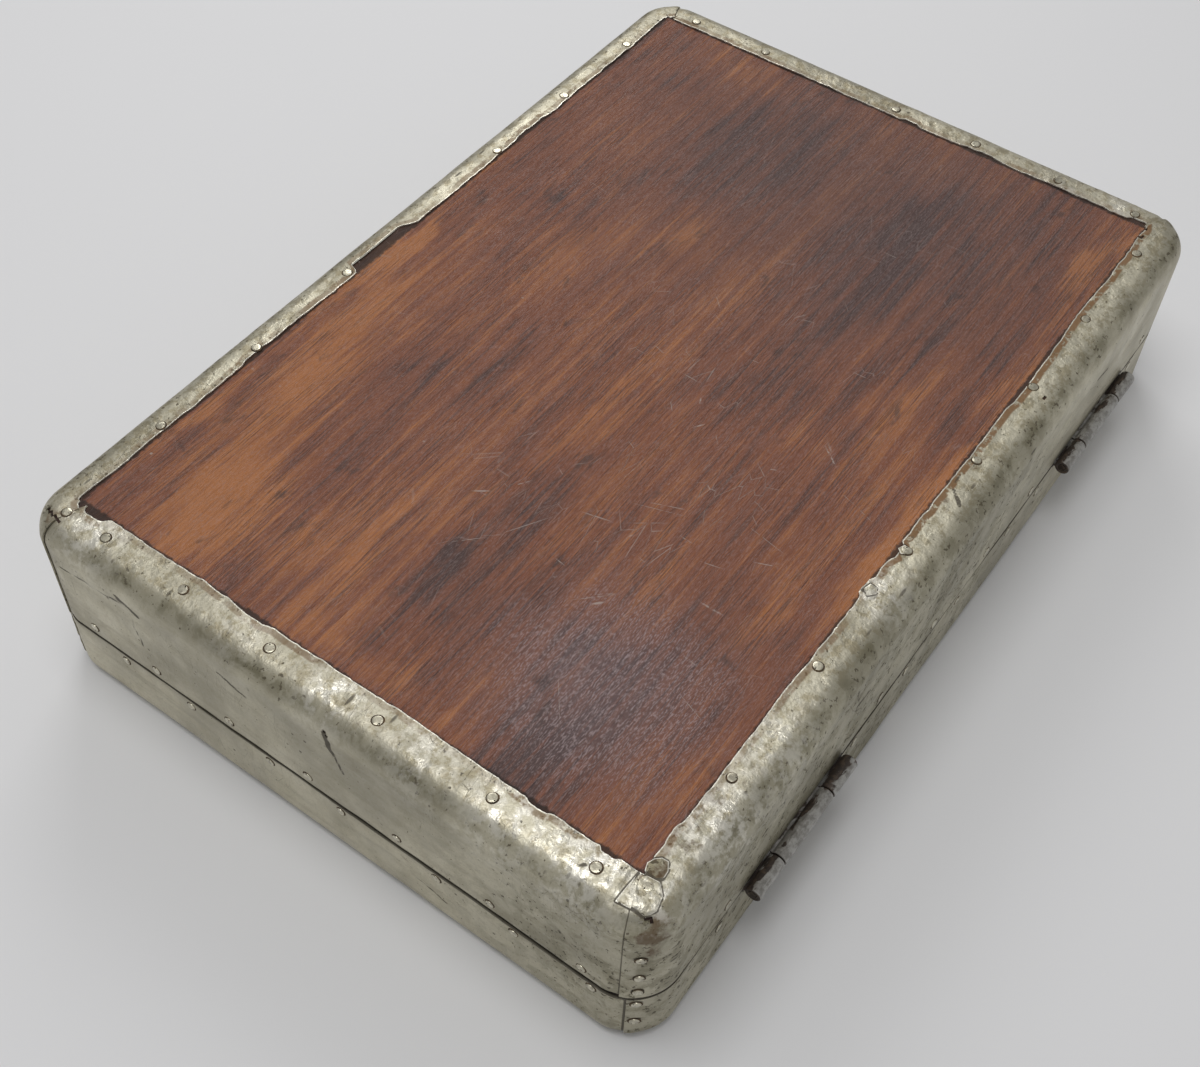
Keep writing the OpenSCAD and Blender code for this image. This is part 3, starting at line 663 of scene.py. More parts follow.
def panel_finish(colours):
    look = Finish("panel_wood")
    x, y = look.axes()[:2]
    fibres = look.noise(1.0, 4, 0.66, source=grain(look, 60, 1500))
    hairs = look.noise(1.0, 3, 0.66, source=grain(look, 60, 2500, 4.2))
    zones = look.step(look.noise(1.0, 4, 0.6, source=grain(look, 14, 95, 6.3)), 0.42, 0.58)
    streaks = look.noise(1.0, 4, 0.62, source=grain(look, 12, 380, 1.3))
    bands = look.noise(1.0, 3, 0.5, source=grain(look, 5.0, 52, 2.1))
    cloud = look.noise(1.0, 4, 0.6, source=look.mapped((16, 30, 30)), distortion=0.3)

    ragged = look.wavering(60, 14.0)

    def field(patches):
        marks = []
        for place, size, turn, strength in patches:
            marks.append(look.patch(place, size, math.radians(turn), strength, 0.0, ragged))
        return look.most(marks)

    worn, dark = field(WORN_PATCHES), field(DARK_PATCHES)
    tone = look.times(fibres, 0.20)
    for value, share in ((streaks, 0.32), (bands, 0.18), (cloud, 0.30)):
        tone = look.plus(tone, look.times(value, share))
    tone = look.plus(tone, look.times(worn, 0.090))
    tone = look.minus(tone, look.times(dark, 0.060))
    colour = look.mix(look.step(tone, 0.38, 0.49), tuple(colours.panel_dark), tuple(colours.panel))
    colour = look.mix(look.step(tone, 0.48, 0.61), colour, tuple(colours.panel_worn))
    # Painted sheen: towards the right-hand end the panel is lightened to a pink-grey haze
    painted_sheen = look.patch((100, 52), (46, 46), source=ragged)
    zones = look.larger(zones, painted_sheen)
    lines = look.times(look.step(hairs, 0.50, 0.60), look.step(zones, 0.0, 1.0, 0.12, 0.55))
    colour = look.mix(lines, colour, (0.038, 0.021, 0.020))
    # Painted shade: the panel is darkened towards its left-hand end
    painted_far_shade = look.patch((-100, 10), (120, 130), source=ragged)
    colour = look.mix(look.times(painted_far_shade, 0.50), colour, (0.085, 0.052, 0.048))
    colour = look.mix(look.times(painted_sheen, 0.42), colour, (0.185, 0.135, 0.140))
    # Painted glints: small light flecks along the fibres, within the painted sheen
    glint_pattern = look.noise(1.0, 3, 0.7, source=grain(look, 800, 3000, 9.1))
    painted_glint = look.times(look.step(glint_pattern, 0.51, 0.59), look.step(painted_sheen, 0.0, 0.7, 0.17, 0.60))
    colour = look.mix(painted_glint, colour, (0.40, 0.31, 0.31))
    blotch = look.noise(1.0, 4, 0.62, source=look.mapped((60, 130, 130)), distortion=0.5)
    blotch = look.step(blotch, 0.60, 0.72)
    colour = look.mix(look.times(blotch, 0.55), colour, (0.045, 0.030, 0.028))

    # Dirt and the painted shadow of the sheet's edge lie along the metal's edge, and the wood under
    # the torn border is dark
    inner = [
        look.minus((HALF_L - RIM["right"]) * MM, x),
        look.plus((HALF_L - RIM["left"]) * MM, x),
        look.minus((HALF_W - BORDERS["back"]) * MM, y),
        look.plus((HALF_W - BORDERS["front"]) * MM, y),
    ]
    inside = inner[0]
    for part in inner[1:]:
        inside = look.math("MINIMUM", inside, part)
    jitter = look.times(look.minus(look.noise(500, 3, 0.6), 0.5), 0.0022)
    dirt_and_shade = look.step(look.plus(inside, jitter), 0.0001, 0.0009, 1.0, 0.0)
    colour = look.mix(look.times(dirt_and_shade, 0.85), colour, (0.022, 0.014, 0.010))

    lines = []
    for first, last, width in PANEL_SCRATCHES:
        a, b = Vector(first), Vector(last)
        turn = math.atan2(b.y - a.y, b.x - a.x)
        lines.append(look.patch((a + b) / 2, ((b - a).length / 2, width * 1.3), turn, 1.0, 0.3))
    broken = look.step(look.noise(700, 2, 0.6), 0.36, 0.52)
    lines = look.times(look.most(lines), broken)
    fine = look.scratches(30, 0.004, (0, 0, -0.9), 5.0)
    finer = look.scratches(64, 0.014, (0, 0, 0.5), 4.0)
    fine = look.larger(fine, finer)
    middle = look.patch((20, 30), (110, 66), source=ragged)
    fine = look.times(fine, look.plus(0.25, look.times(middle, 0.75)))
    lines = look.larger(lines, fine)
    dots = look.step(look.cells(85), 0.02, 0.05, 1.0, 0.0)
    dots = look.times(dots, look.step(look.noise(24, 2, 0.5), 0.50, 0.58))
    lines = look.larger(lines, dots)
    colour = look.mix(look.times(lines, 0.72), colour, (0.46, 0.38, 0.34))

    roughness = look.step(look.noise(40, 4, 0.6), 0.3, 0.7, 0.33, 0.50)
    roughness = look.plus(roughness, look.times(look.larger(dirt_and_shade, lines), 0.25))
    relief = look.plus(look.times(fibres, 0.6), look.times(hairs, -0.6))
    normal = look.bump(relief, 0.0006, 0.9)
    normal = look.bump(look.noise(75, 3, 0.6), 0.0005, 0.5, normal)
    normal = look.bump(lines, -0.0001, 0.8, normal)
    look.set(Base_Color=colour, Roughness=roughness, Normal=normal)
    look.set(Specular_IOR_Level=0.42)
    return look.material


def plain_wood_finish(name, dark, light, rough=0.6, dirt_and_shade_outside=False, turned=False):
    look = Finish(name)
    streaks = look.noise(1.0, 5, 0.62, source=grain(look, 9, 210, 0.0, turned))
    pores = look.noise(1.0, 3, 0.7, source=grain(look, 60, 1400, 3.1, turned))
    colour = look.mix(look.step(streaks, 0.34, 0.66), dark, light)
    colour = look.mix(look.step(pores, 0.56, 0.7, 0.0, 0.5), colour, dark)
    blotch = look.step(look.noise(45, 4, 0.6), 0.55, 0.75)
    colour = look.mix(look.times(blotch, 0.4), colour, dark)
    if dirt_and_shade_outside:
        # Painted shade and dirt in the parting, and behind the sheets where they gape: the walls'
        # outer faces are painted near black
        x, y = look.axes()[:2]
        out_x = look.step(look.math("ABSOLUTE", x), (HALF_L - 2.2) * MM, (HALF_L - 0.9) * MM)
        out_y = look.step(look.math("ABSOLUTE", y), (HALF_W - 2.2) * MM, (HALF_W - 0.9) * MM)
        outside = look.larger(out_x, out_y)
        colour = look.mix(look.times(outside, 0.9), colour, (0.012, 0.009, 0.007))
    roughness = look.step(look.noise(60, 3, 0.6), 0.3, 0.7, rough - 0.08, rough + 0.1)
    normal = look.bump(streaks, 0.0002, 0.7)
    normal = look.bump(pores, -0.00012, 0.7, normal)
    look.set(Base_Color=colour, Roughness=roughness, Normal=normal)
    return look.material


def paint_finish(colours, name, kept):
    look = Finish(name)
    y = look.axes()[1]
    chips = look.noise(1.0, 4, 0.6, source=look.mapped((110, 260, 260)), distortion=0.3)
    # The paint is worn off the side that faces the chest, and at the knuckles' ends; the dark bare
    # steel there is also painted shade, on the chest side and in the knuckles' open ends
    inward = look.step(y, (HALF_W + 1.4) * MM, (HALF_W + 4.2) * MM, 0.15, -0.06)
    facing = look.tree.nodes.new("ShaderNodeTexCoord").outputs["Normal"]
    along = look.vector("DOT_PRODUCT", facing, (1.0, 0.0, 0.0), 1)
    ends = look.step(look.math("ABSOLUTE", along), 0.5, 0.8)
    inside = look.step(y, (HALF_W - 1.5) * MM, HALF_W * MM, 0.16, 0.0)
    worn = look.plus(look.plus(chips, inward), inside)
    bare_and_shaded = look.larger(look.step(worn, 0.54 + kept, 0.58 + kept), ends)
    shade = look.noise(420, 4, 0.7)
    paint = look.mix(look.step(shade, 0.38, 0.62), tuple(colours.paint), (0.235, 0.225, 0.205))
    smear = look.noise(1.0, 4, 0.65, source=look.mapped((260, 500, 500)))
    paint = look.mix(look.step(smear, 0.50, 0.64, 0.0, 0.55), paint, (0.150, 0.135, 0.115))
    rust = look.step(look.noise(700, 3, 0.6), 0.4, 0.7)
    steel = look.mix(rust, tuple(colours.steel), (0.105, 0.075, 0.055))
    colour = look.mix(bare_and_shaded, paint, steel)
    roughness = look.plus(0.40, look.times(bare_and_shaded, 0.2))
    normal = look.bump(look.step(worn, 0.52, 0.58, 1.0, 0.0), 0.00014, 0.8)
    normal = look.bump(look.noise(400, 2, 0.5), 0.00015, 0.5, normal)
    look.set(Base_Color=colour, Roughness=roughness, Metallic=0.15, Normal=normal)
    return look.material


def steel_finish(colours):
    look = Finish("dark_steel")
    patch = look.noise(500, 4, 0.65)
    colour = look.mix(look.step(patch, 0.4, 0.7), tuple(colours.steel), (0.20, 0.16, 0.12))
    roughness = look.step(patch, 0.3, 0.7, 0.35, 0.6)
    normal = look.bump(patch, 0.0001, 0.6)
    look.set(Base_Color=colour, Metallic=0.8, Roughness=roughness, Normal=normal)
    return look.material


def brass_finish(colours):
    look = Finish("aged_brass")
    patch = look.noise(260, 4, 0.65)
    colour = look.mix(look.step(patch, 0.4, 0.7), tuple(colours.brass), (0.14, 0.085, 0.035))
    lines = look.scratches(180, 0.02, (0.4, 0.2, 0.3), 4.0)
    colour = look.mix(look.times(lines, 0.4), colour, (0.70, 0.50, 0.25))
    roughness = look.step(patch, 0.3, 0.7, 0.28, 0.5)
    normal = look.bump(patch, 0.0001, 0.5)
    look.set(Base_Color=colour, Metallic=0.9, Roughness=roughness, Normal=normal)
    return look.material


def felt_finish(colours):
    look = Finish("felt_lining")
    fibre = look.noise(2600, 4, 0.75)
    nap = look.noise(60, 4, 0.6, distortion=0.5)
    green = tuple(colours.felt)
    pale = tuple(min(1.0, c * 2.0 + 0.01) for c in green)
    colour = look.mix(look.step(fibre, 0.35, 0.7), green, pale)
    colour = look.mix(look.step(nap, 0.45, 0.75, 0.0, 0.4), colour, tuple(c * 0.5 for c in green))
    normal = look.bump(fibre, 0.0004, 0.8)
    normal = look.bump(nap, 0.0012, 0.4, normal)
    look.set(Base_Color=colour, Roughness=0.95, Normal=normal, Sheen_Weight=0.4)
    return look.material


FINISHES = {}
# Darkest tone of the case's wood and of the racks' wood
CASE_DARK = (0.05, 0.022, 0.012)
RACK_DARK = (0.13, 0.055, 0.022)


def finish(name):
    """The chest's materials, each made once."""
    colours = bpy.context.scene.chest_colours
    case, rack = tuple(colours.case), tuple(colours.rack)
    makers = {
        "sheet": lambda: metal_finish(colours),
        "pin": lambda: pin_finish(colours),
        "grime_and_painted_shade": lambda: grime_and_painted_shade_finish(colours),
        "panel": lambda: panel_finish(colours),
        "case": lambda: plain_wood_finish("case_wood", CASE_DARK, case, 0.6, True),
        "case_end": lambda: plain_wood_finish("case_end_wood", CASE_DARK, case, 0.6, True, True),
        "rack": lambda: plain_wood_finish("rack_wood", RACK_DARK, rack, 0.5, False, True),
        "paint": lambda: paint_finish(colours, "chipped_paint", 0.10),
        "paint_worn": lambda: paint_finish(colours, "worn_paint", 0.0),
        "steel": lambda: steel_finish(colours),
        "brass": lambda: brass_finish(colours),
        "felt": lambda: felt_finish(colours),
    }
    if name not in FINISHES:
        FINISHES[name] = makers[name]()
    return FINISHES[name]


def dress(item, *names):
    """Gives a piece its finishes, by their names."""
    item.data.materials.clear()
    for name in names:
        item.data.materials.append(finish(name))


# Creases and dents: both ends of the line (x, y, z), depth below the surface and
# half width. A negative depth is a ridge.
CREASES = [
    ((149.9, 6.4, 55.0), (142, 4.4, 62.8), 0.42, 0.9),
    ((149.6, 2.6, 58.0), (141, 1.2, 62.8), -0.24, 1.1),
    ((150, -72, 54), (146, -70, 62), 0.25, 0.7),
    ((150, -88, 50), (150, -60, 50), 0.12, 1.0),
    ((150, 30, 57), (141, 40, 62.8), 0.16, 1.5),
    ((150, 62, 58), (138, 58, 62.8), 0.20, 1.0),
    ((147, 70, 62), (137, 74, 62.8), -0.18, 1.2),
    ((147, 78, 61), (138, 84, 62.8), 0.26, 0.8),
    ((145.7, 87.2, 62.2), (136.6, 87.2, 62.8), 0.30, 0.7),
    ((145.2, 96.4, 60.6), (147.6, 91.0, 60.4), 0.26, 0.8),
    ((144, 60, 62), (137, 66, 62.8), -0.15, 1.0),
    ((148, 40, 60), (148, 58, 60), 0.10, 1.5),
    ((100, 102, 40), (60, 102, 42), 0.12, 2.5),
    ((63, 102, 30), (57, 102, 36), 0.32, 2.2),
    ((-60, 102, 45), (-110, 102, 40), 0.10, 2.5),
    ((36, 90, 62.8), (30, 98, 61), 0.24, 0.8),
    ((20, 91, 62.8), (26, 97, 62), 0.20, 0.8),
    ((-141, 60, 62.8), (-147, 74, 60), 0.28, 1.0),
    ((-138, 76, 62.8), (-146, 80, 61), 0.26, 0.9),
    ((-140, 84, 62.8), (-147, 70, 60), -0.18, 1.1),
    ((-138, 10, 62.8), (-146, 2, 60), 0.18, 1.0),
    ((28, -96, 62), (40, -94, 62.8), 0.20, 0.8),
    ((144, -90, 62), (139, -80, 62.8), 0.24, 0.8),
]

# Soft round dents: place, radius and depth
DENTS = [
    ((150, -30, 45), 12, 0.16),
    ((150, 20, 40), 15, 0.14),
    ((150, 60, 46), 10, 0.18),
    ((150, -70, 38), 14, 0.12),
    ((120, 102, 45), 10, 0.16),
    ((40, 102, 48), 12, 0.14),
    ((0, 102, 40), 18, 0.14),
    ((-60, 102, 48), 12, 0.14),
    ((-150, 0, 42), 18, 0.15),
    ((0, -102, 44), 20, 0.15),
    ((148, 50, 60), 7, 0.16),
    ((148, 78, 60), 6, 0.20),
    ((148, -45, 60), 8, 0.14),
]

# Openings in the sheets, down to the wood: both ends and half width
TEARS = [
    ((143.0, -96.4, 61.9), (144.5, -90.5, 62.5), 0.55),
    ((-52.0, 96.0, 62.6), (-52.4, 96.0, 62.6), 0.62),
    ((144.3, 95.6, 61.4), (143.6, 96.8, 61.4), 0.5),
    ((-132.2, 89.5, 62.8), (-133.4, 89.7, 62.8), 0.5),
    ((-138.2, 86.0, 62.8), (-136.8, 89.4, 62.8), 0.45),
    ((149.7, 5.0, 58.4), (149.9, 6.4, 57.2), 0.5),
    ((147.7, 95.9, 4.6), (147.3, 96.4, 4.0), 0.55),
]

# Marks on the metal: both ends (x, y, z) and half width, in millimetres
METAL_MARKS = [
    ((150, -88, 50), (150, -69.8, 52.6), 0.2),
    ((150, -69.8, 52.6), (150, -63.6, 53.8), 0.2),
    ((150, -66, 55.5), (150, -58.5, 52.8), 0.5),
    ((150, -62.5, 51.5), (150, -61, 37), 0.14),
    ((-6.5, 91.8, 62.8), (-2.7, 95.4, 62.8), 0.4),
    ((149.8, 4.6, 58.6), (150, 7.2, 51.5), 0.6),
    ((150, 7.2, 51.5), (150, 9.5, 44), 0.3),
    ((150, -31, 52), (150, -22, 49), 0.3),
    ((146, -24, 62.2), (150, -20, 54), 0.22),
    ((142, 77, 62.8), (148, 70, 60), 0.3),
    ((58, 102, 46), (51, 102, 44.5), 0.3),
    ((-84, 102, 47), (-93, 102, 45), 0.3),
    ((150, 30, 14), (150, 41, 10), 0.15),
    ((-60, -102, 40), (-38, -102, 45), 0.18),
]

# Brown stains on the metal: place, radius and strength
STAINS = [
    ((-20, 90.5, 62.8), 5, 0.6),
    ((0, 90.5, 62.8), 5, 0.6),
    ((20, 91, 62.8), 5, 0.7),
    ((36, 90, 62.8), 5, 0.8),
    ((124, 91.5, 62.8), 7, 0.85),
    ((112, 90.5, 62.8), 7, 0.8),
    ((100, 91, 62.8), 8, 0.5),
    ((142.5, 98.2, 60.5), 3.2, 1.3),
    ((144.0, 98.8, 57.5), 3.2, 1.5),
    ((146.3, 96.6, 57.0), 2.6, 1.4),
    ((145.4, 98.6, 50), 3.0, 0.9),
    ((148.0, 94.0, 57.0), 2.0, 0.9),
    ((140, -72, 62.8), 3, 0.9),
    ((144, -92, 62.5), 3.5, 1.0),
    ((-139, 85, 62.8), 6, 0.9),
    ((-143, 88, 61), 5, 0.8),
    ((-50, 90, 62.8), 6, 0.5),
    ((-139, 0, 62.8), 6, 0.5),
]

# Rubbed places and painted highlights on the metal: place, radius and strength
RUBS_AND_HIGHLIGHTS = [
    ((140, 78, 62.8), 12, 1.0),
    ((141, 56, 62.8), 12, 0.8),
    ((141, 30, 62.8), 10, 0.6),
    ((142, 2, 62.5), 8, 0.9),
    ((141, -30, 62.8), 9, 0.4),
    ((142, -80, 62.5), 9, 0.9),
    ((138, 94, 62.5), 7, 1.0),
    ((116, 94, 62.5), 15, 0.8),
    ((90, 93, 62.5), 14, 0.6),
    ((36, 92, 62.5), 8, 0.9),
    ((-136, 60, 62.5), 7, 0.7),
    ((-139, 78, 62.5), 7, 0.7),
]

# Bites and tears along the inner edge of the border on top: place along the
# side, half width, depth of the bite and sharpness of its two ends
BITES = {
    "front": [(12, 14.5, 3.4, 7.0, 1.5), (70, 6, 0.8, 3, 3), (-60, 9, 0.7, 4, 4)],
    "back": [
        (128, 8, -0.7, 2, 3),
        (36, 4, -1.0, 1.5, 1.5),
        (21, 4, 1.0, 1.5, 2),
        (-60, 20, 0.5, 6, 6),
    ],
    "right": [(-84, 5, 2.2, 2, 3), (80, 3.0, 1.0, 1, 1.5), (60, 4, 0.8, 2, 2), (-30, 8, 0.6, 4, 4)],
    "left": [(86, 4, 1.4, 2, 2), (30, 7, 0.8, 3, 3), (5, 4, 0.9, 2, 2)],
}

# Laps of metal that stand out of the lid's border: outline (x, y) and height in
# millimetres. The first two are at the corner that shows most.
LAPS = {
    "corner_tab": (
        [(136.3, 88.0), (140.7, 87.8), (145.2, 87.7), (144.9, 89.2), (144.6, 91.4), (144.1, 95.2)]
        + [(141.5, 96.4), (138.0, 95.6), (135.6, 93.2), (135.9, 90.4)],
        0.25,
    ),
    "corner_lobe": (
        [(135.6, 90.0), (135.6, 92.0), (134.6, 93.4), (132.3, 93.2), (130.2, 91.9), (130.3, 90.2)]
        + [(131.5, 88.9), (133.3, 88.1), (135.3, 88.8)],
        0.19,
    ),
    "back_scrap": ([(34.6, 89.4), (37.6, 88.5), (38.4, 90.6), (36.6, 92.2), (34.8, 91.4)], 0.22),
    "back_curl": ([(18.2, 90.2), (20.2, 89.3), (21.4, 90.8), (20.4, 92.2), (18.6, 91.8)], 0.22),
}
# Where a pin presses the corner tab down
TAB_PIN = (138.1, 90.9)
# How far the laps hang down from the lid's top, at most
LAP_DROP = 5.8
# Distance between the grid's columns near a sheet's ends and along the rest of it,
# and how far from the ends the columns stay close
FINE_STEP, COLUMN_STEP, FINE_REACH = 0.5, 0.85, 24


def from_outline(points, outline):
    """Distance of each place from a closed outline, seen from above."""
    ring = np.array(outline)
    near = np.full(len(points), 1e3)
    for a, b in zip(ring, np.roll(ring, -1, axis=0)):
        t = np.clip(((points[:, :2] - a) @ (b - a)) / ((b - a) @ (b - a)), 0, 1)
        near = np.minimum(near, np.linalg.norm(points[:, :2] - a - t[:, None] * (b - a), axis=1))
    return near


def spots(points, places):
    """Largest influence of some round places on each point, from 0 to 1."""
    total = np.zeros(len(points))
    for place, radius, strength in places:
        far = np.linalg.norm(points - np.array(place, float), axis=1)
        total = np.maximum(total, strength * np.exp(-((far / radius) ** 2)))
    return total


def far_from_line(points, first, last):
    """Distance of each point from the line between two places."""
    a, b = np.array(first, float), np.array(last, float)
    t = np.clip(((points - a) @ (b - a)) / ((b - a) @ (b - a)), 0, 1)
    return np.linalg.norm(points - a - t[:, None] * (b - a), axis=1)


def spread(start, end, pitch):
    """Even places from start to end, about a pitch apart."""
    return np.linspace(start, end, max(2, int(round(abs(end - start) / pitch)) + 1))


class Sheet:
    """How one sheet runs round its half of the chest.

    It is laid out flat as a grid, with s along the side and t from the rim over
    the rolled edge to the end of its border, and then folded to its place."""

    def __init__(self, half, side, sizes):
        self.half, self.side = half, side
        self.lid = half == "lid"
        self.long = side in ("front", "back")
        self.radius = sizes.corner_radius / MM
        self.roll = (sizes.top_roll if self.lid else sizes.bottom_roll) / MM
        self.reach = HALF_W if self.long else HALF_L
        self.core = (HALF_L if self.long else HALF_W) - self.radius
        self.core_out = self.reach - self.radius
        self.height = TOP_Z - LID_Z if self.lid else BASE_H
        seam = sizes.lid_seam if self.lid else sizes.base_seam
        self.wrap = math.pi / 2 - seam if self.long else seam + TUCK
        self.border = self.border_width(side, sizes)
        across = ("left", "right") if self.long else ("front", "back")
        self.other_border = {
            sign: self.border_width(name, sizes) for sign, name in zip((-1, 1), across)
        }
        self.seed = 10 * ("front", "back", "left", "right").index(side) + (5 if self.lid else 0)

    def border_width(self, side, sizes):
        if not self.lid:
            return sizes.rim_under / MM
        if side in RIM:
            return RIM[side]
        return (sizes.rim_back if side == "back" else sizes.rim_front) / MM

    def wave(self, s, cell, draw):
        """Random height from -1 to 1 along the sheet, another one for each draw."""
        return wander(s, 0 * s, cell, self.seed + draw)

    def to_world(self, along, out, z):
        if self.side == "back":
            x, y = along, out
        elif self.side == "front":
            x, y = along, -out
        elif self.side == "right":
            x, y = out, along
        else:
            x, y = -out, along
        return np.stack([x, y, z], -1)

    def columns(self):
        end = self.core + self.radius * self.wrap
        fine = end - FINE_REACH
        marks = [spread(-end, -fine, FINE_STEP), spread(fine, end, FINE_STEP)]
        marks.append(spread(-fine, fine, COLUMN_STEP))
        for low, high in self.notches():
            marks.append(np.array([low - 0.08, low + 0.08, high - 0.08, high + 0.08]))
        return np.unique(np.concatenate(marks).round(4))

    def notches(self):
        """Where the hinge leaves lie, along the back."""
        if self.side != "back":
            return []
        found = []
        for node in HINGES.values():
            low, high = box_mm(node)
            found.append((low[0] - 0.15, high[0] + 0.15))
        return found

    def rim_height(self, s):
        """How far the sheet's edge stays from the rim."""
        edge = 0.10 + 0.10 * self.wave(s, 14, 1)
        if self.side == "right":
            edge = edge + 0.15 + 0.40 * ease(s, -60, 85) + 0.12 * self.wave(s, 5, 13)
        edge = np.clip(edge, 0.05, 0.75)
        for low, high in self.notches():
            edge = np.where((s > low) & (s < high), 1.25, edge)
        return edge

    def border_end(self, s):
        """Distance of the border's inner end from the outer face."""
        uneven = 0.34 * self.wave(s, 21, 2) + 0.22 * self.wave(s, 5, 3)
        uneven += 0.16 * self.wave(s, 2.1, 4) + 0.10 * self.wave(s, 1.1, 14)
        end = self.border + uneven - 0.15
        if self.lid:
            for place, half, depth, before, after in BITES[self.side]:
                part = ease(s, place - half, place - half + before)
                part = part * (1 - ease(s, place + half - after, place + half))
                end = end - depth * part
        over = np.maximum(np.abs(s) - self.core, 0) / self.radius
        sign = np.where(s < 0, -1, 1)
        other = np.where(sign < 0, self.other_border[-1], self.other_border[1])
        wx = self.radius - other
        wy = self.radius - self.border
        inner = np.minimum(
            np.where(wx > 0, wx / np.maximum(np.sin(over), 1e-3), 1e3),
            np.where(wy > 0, wy / np.maximum(np.cos(over), 1e-3), 1e3),
        )
        inner = np.where((wx <= 0) | (wy <= 0), 0.4, inner)
        inner = np.clip(inner + 0.1, 0.4, self.radius - self.roll - 0.3)
        blend = ease(over, 0.0, 0.12)
        end = end * (1 - blend) + np.minimum(self.radius - inner, end + 0.8) * blend
        return np.maximum(end, self.roll + 0.25)

    def from_edge(self, s, kind):
        """Distance of each place from the border's inner end; far away off the top."""
        flat = self.border_end(s) - self.roll
        inside = np.where(kind >= 1, flat * (2 - kind), flat + self.roll * math.pi / 2 * (1 - kind))
        return inside if self.lid else np.full(len(s), FAR_OFF)

    def fold(self, s, rows):
        """Places and outward directions of the whole grid."""
        n = len(s)
        over = np.maximum(np.abs(s) - self.core, 0) / self.radius
        sign = np.where(s < 0, -1.0, 1.0)
        way_along, way_out = sign * np.sin(over), np.cos(over)
        base_along = np.clip(s, -self.core, self.core) + self.radius * way_along
        base_out = self.core_out + self.radius * way_out
        rim, end = self.rim_height(s), self.border_end(s)
        places, normals, flats, kinds = [], [], [], []
        for kind, share in rows:
            if kind == "side":
                rise = rim + (self.height - self.roll - rim) * share
                depth, turn = np.zeros(n), 0.0
                travel = rise
            elif kind == "roll":
                turn = share * math.pi / 2
                depth = np.full(n, self.roll * (1 - math.cos(turn)))
                rise = np.full(n, self.height - self.roll + self.roll * math.sin(turn))
                travel = self.height - self.roll + self.roll * turn + 0 * s
            else:
                turn = math.pi / 2
                depth = self.roll + (end - self.roll) * share
                rise = np.full(n, self.height)
                travel = self.height - self.roll + self.roll * turn + depth - self.roll
            z = LID_Z + rise if self.lid else BASE_H - rise
            along, out = base_along - way_along * depth, base_out - way_out * depth
            places.append(self.to_world(along, out, z))
            level, up = math.cos(turn), math.sin(turn) * (1 if self.lid else -1)
            normals.append(self.to_world(way_along * level, way_out * level, up + 0 * s))
            flats.append(np.stack([s, travel + 0 * s], -1))
            kinds.append(np.full(n, {"side": 0.0, "roll": share, "border": 1.0 + share}[kind]))
        return (np.concatenate(part) for part in (places, normals, flats, kinds))

    def relief(self, points, flat, kind, s_end, seats):
        """How far each place stands out of the plain fold, in millimetres."""
        s, t = flat[:, 0], flat[:, 1]
        out = 0.55 * wander(s, t, 26, self.seed + 6) + 0.30 * wander(s, t, 10, self.seed + 7)
        out = out + 0.12 * wander(s, t, 4.2, self.seed + 8)
        out = out * bpy.context.scene.chest_sizes.waviness / MM
        for first, last, depth, width in CREASES:
            far = far_from_line(points, first, last)
            out = out - depth * np.exp(-((far / width) ** 2))
            out = out + 0.4 * depth * np.exp(-(((far - 2.2 * width) / width) ** 2))
        for place, radius, depth in DENTS:
            far = np.linalg.norm(points - np.array(place, float), axis=1)
            out = out - depth * np.exp(-((far / radius) ** 2))
        border = kind > 1
        lip = ease(kind, 1.55, 2.0)
        out = out + lip * (0.05 + 0.13 * self.wave(s, 6, 9))
        # The long sheets lap over the ends at the seams
        near_end = s_end - np.abs(s)
        if self.long:
            out = out + 0.22 * (1 - ease(near_end, 1.5, 4.5))
            raised = 0.10 * (1 - ease(near_end, 3, 4.5))
            out = np.where(near_end < 4.5, np.maximum(out, raised), out)
        else:
            out = out - 0.22 * (1 - ease(near_end, 3.0, 6.0))
        limit_low = np.where(border, -0.24, -0.40)
        out = np.clip(out, limit_low, 0.26)
        for seat, _ in seats:
            far = np.linalg.norm(points - seat, axis=1)
            near = far < 6
            if near.any():
                press = 1 - ease(far[near], 1.5, 3.4)
                out[near] = out[near] * (1 - press) - 0.05 * press
                out[near] += 0.06 * np.exp(-(((far[near] - 3.2) / 0.9) ** 2))
        if not self.lid:
            under = ease(kind, 0.35, 0.7)
            out = out * (1 - under) + np.clip(out - 0.05, -0.3, 0.0) * under
        return np.clip(out, -0.42, 0.26)


def open_tears(piece):
    """Cuts the torn places out of a sheet."""
    pick(piece)
    bpy.ops.object.mode_set(mode="EDIT")
    bpy.ops.mesh.select_all(action="DESELECT")
    work = bmesh.from_edit_mesh(piece.data)
    faces = list(work.faces)
    middles = np.array([face.calc_center_median()[:] for face in faces]) / MM
    torn = np.zeros(len(faces), bool)
    for first, last, width in TEARS:
        torn |= far_from_line(middles, first, last) < width
    for face, away in zip(faces, torn):
        face.select_set(bool(away))
    bmesh.update_edit_mesh(piece.data)
    if torn.any():
        bpy.ops.mesh.delete(type="FACE")
    bpy.ops.object.mode_set(mode="OBJECT")


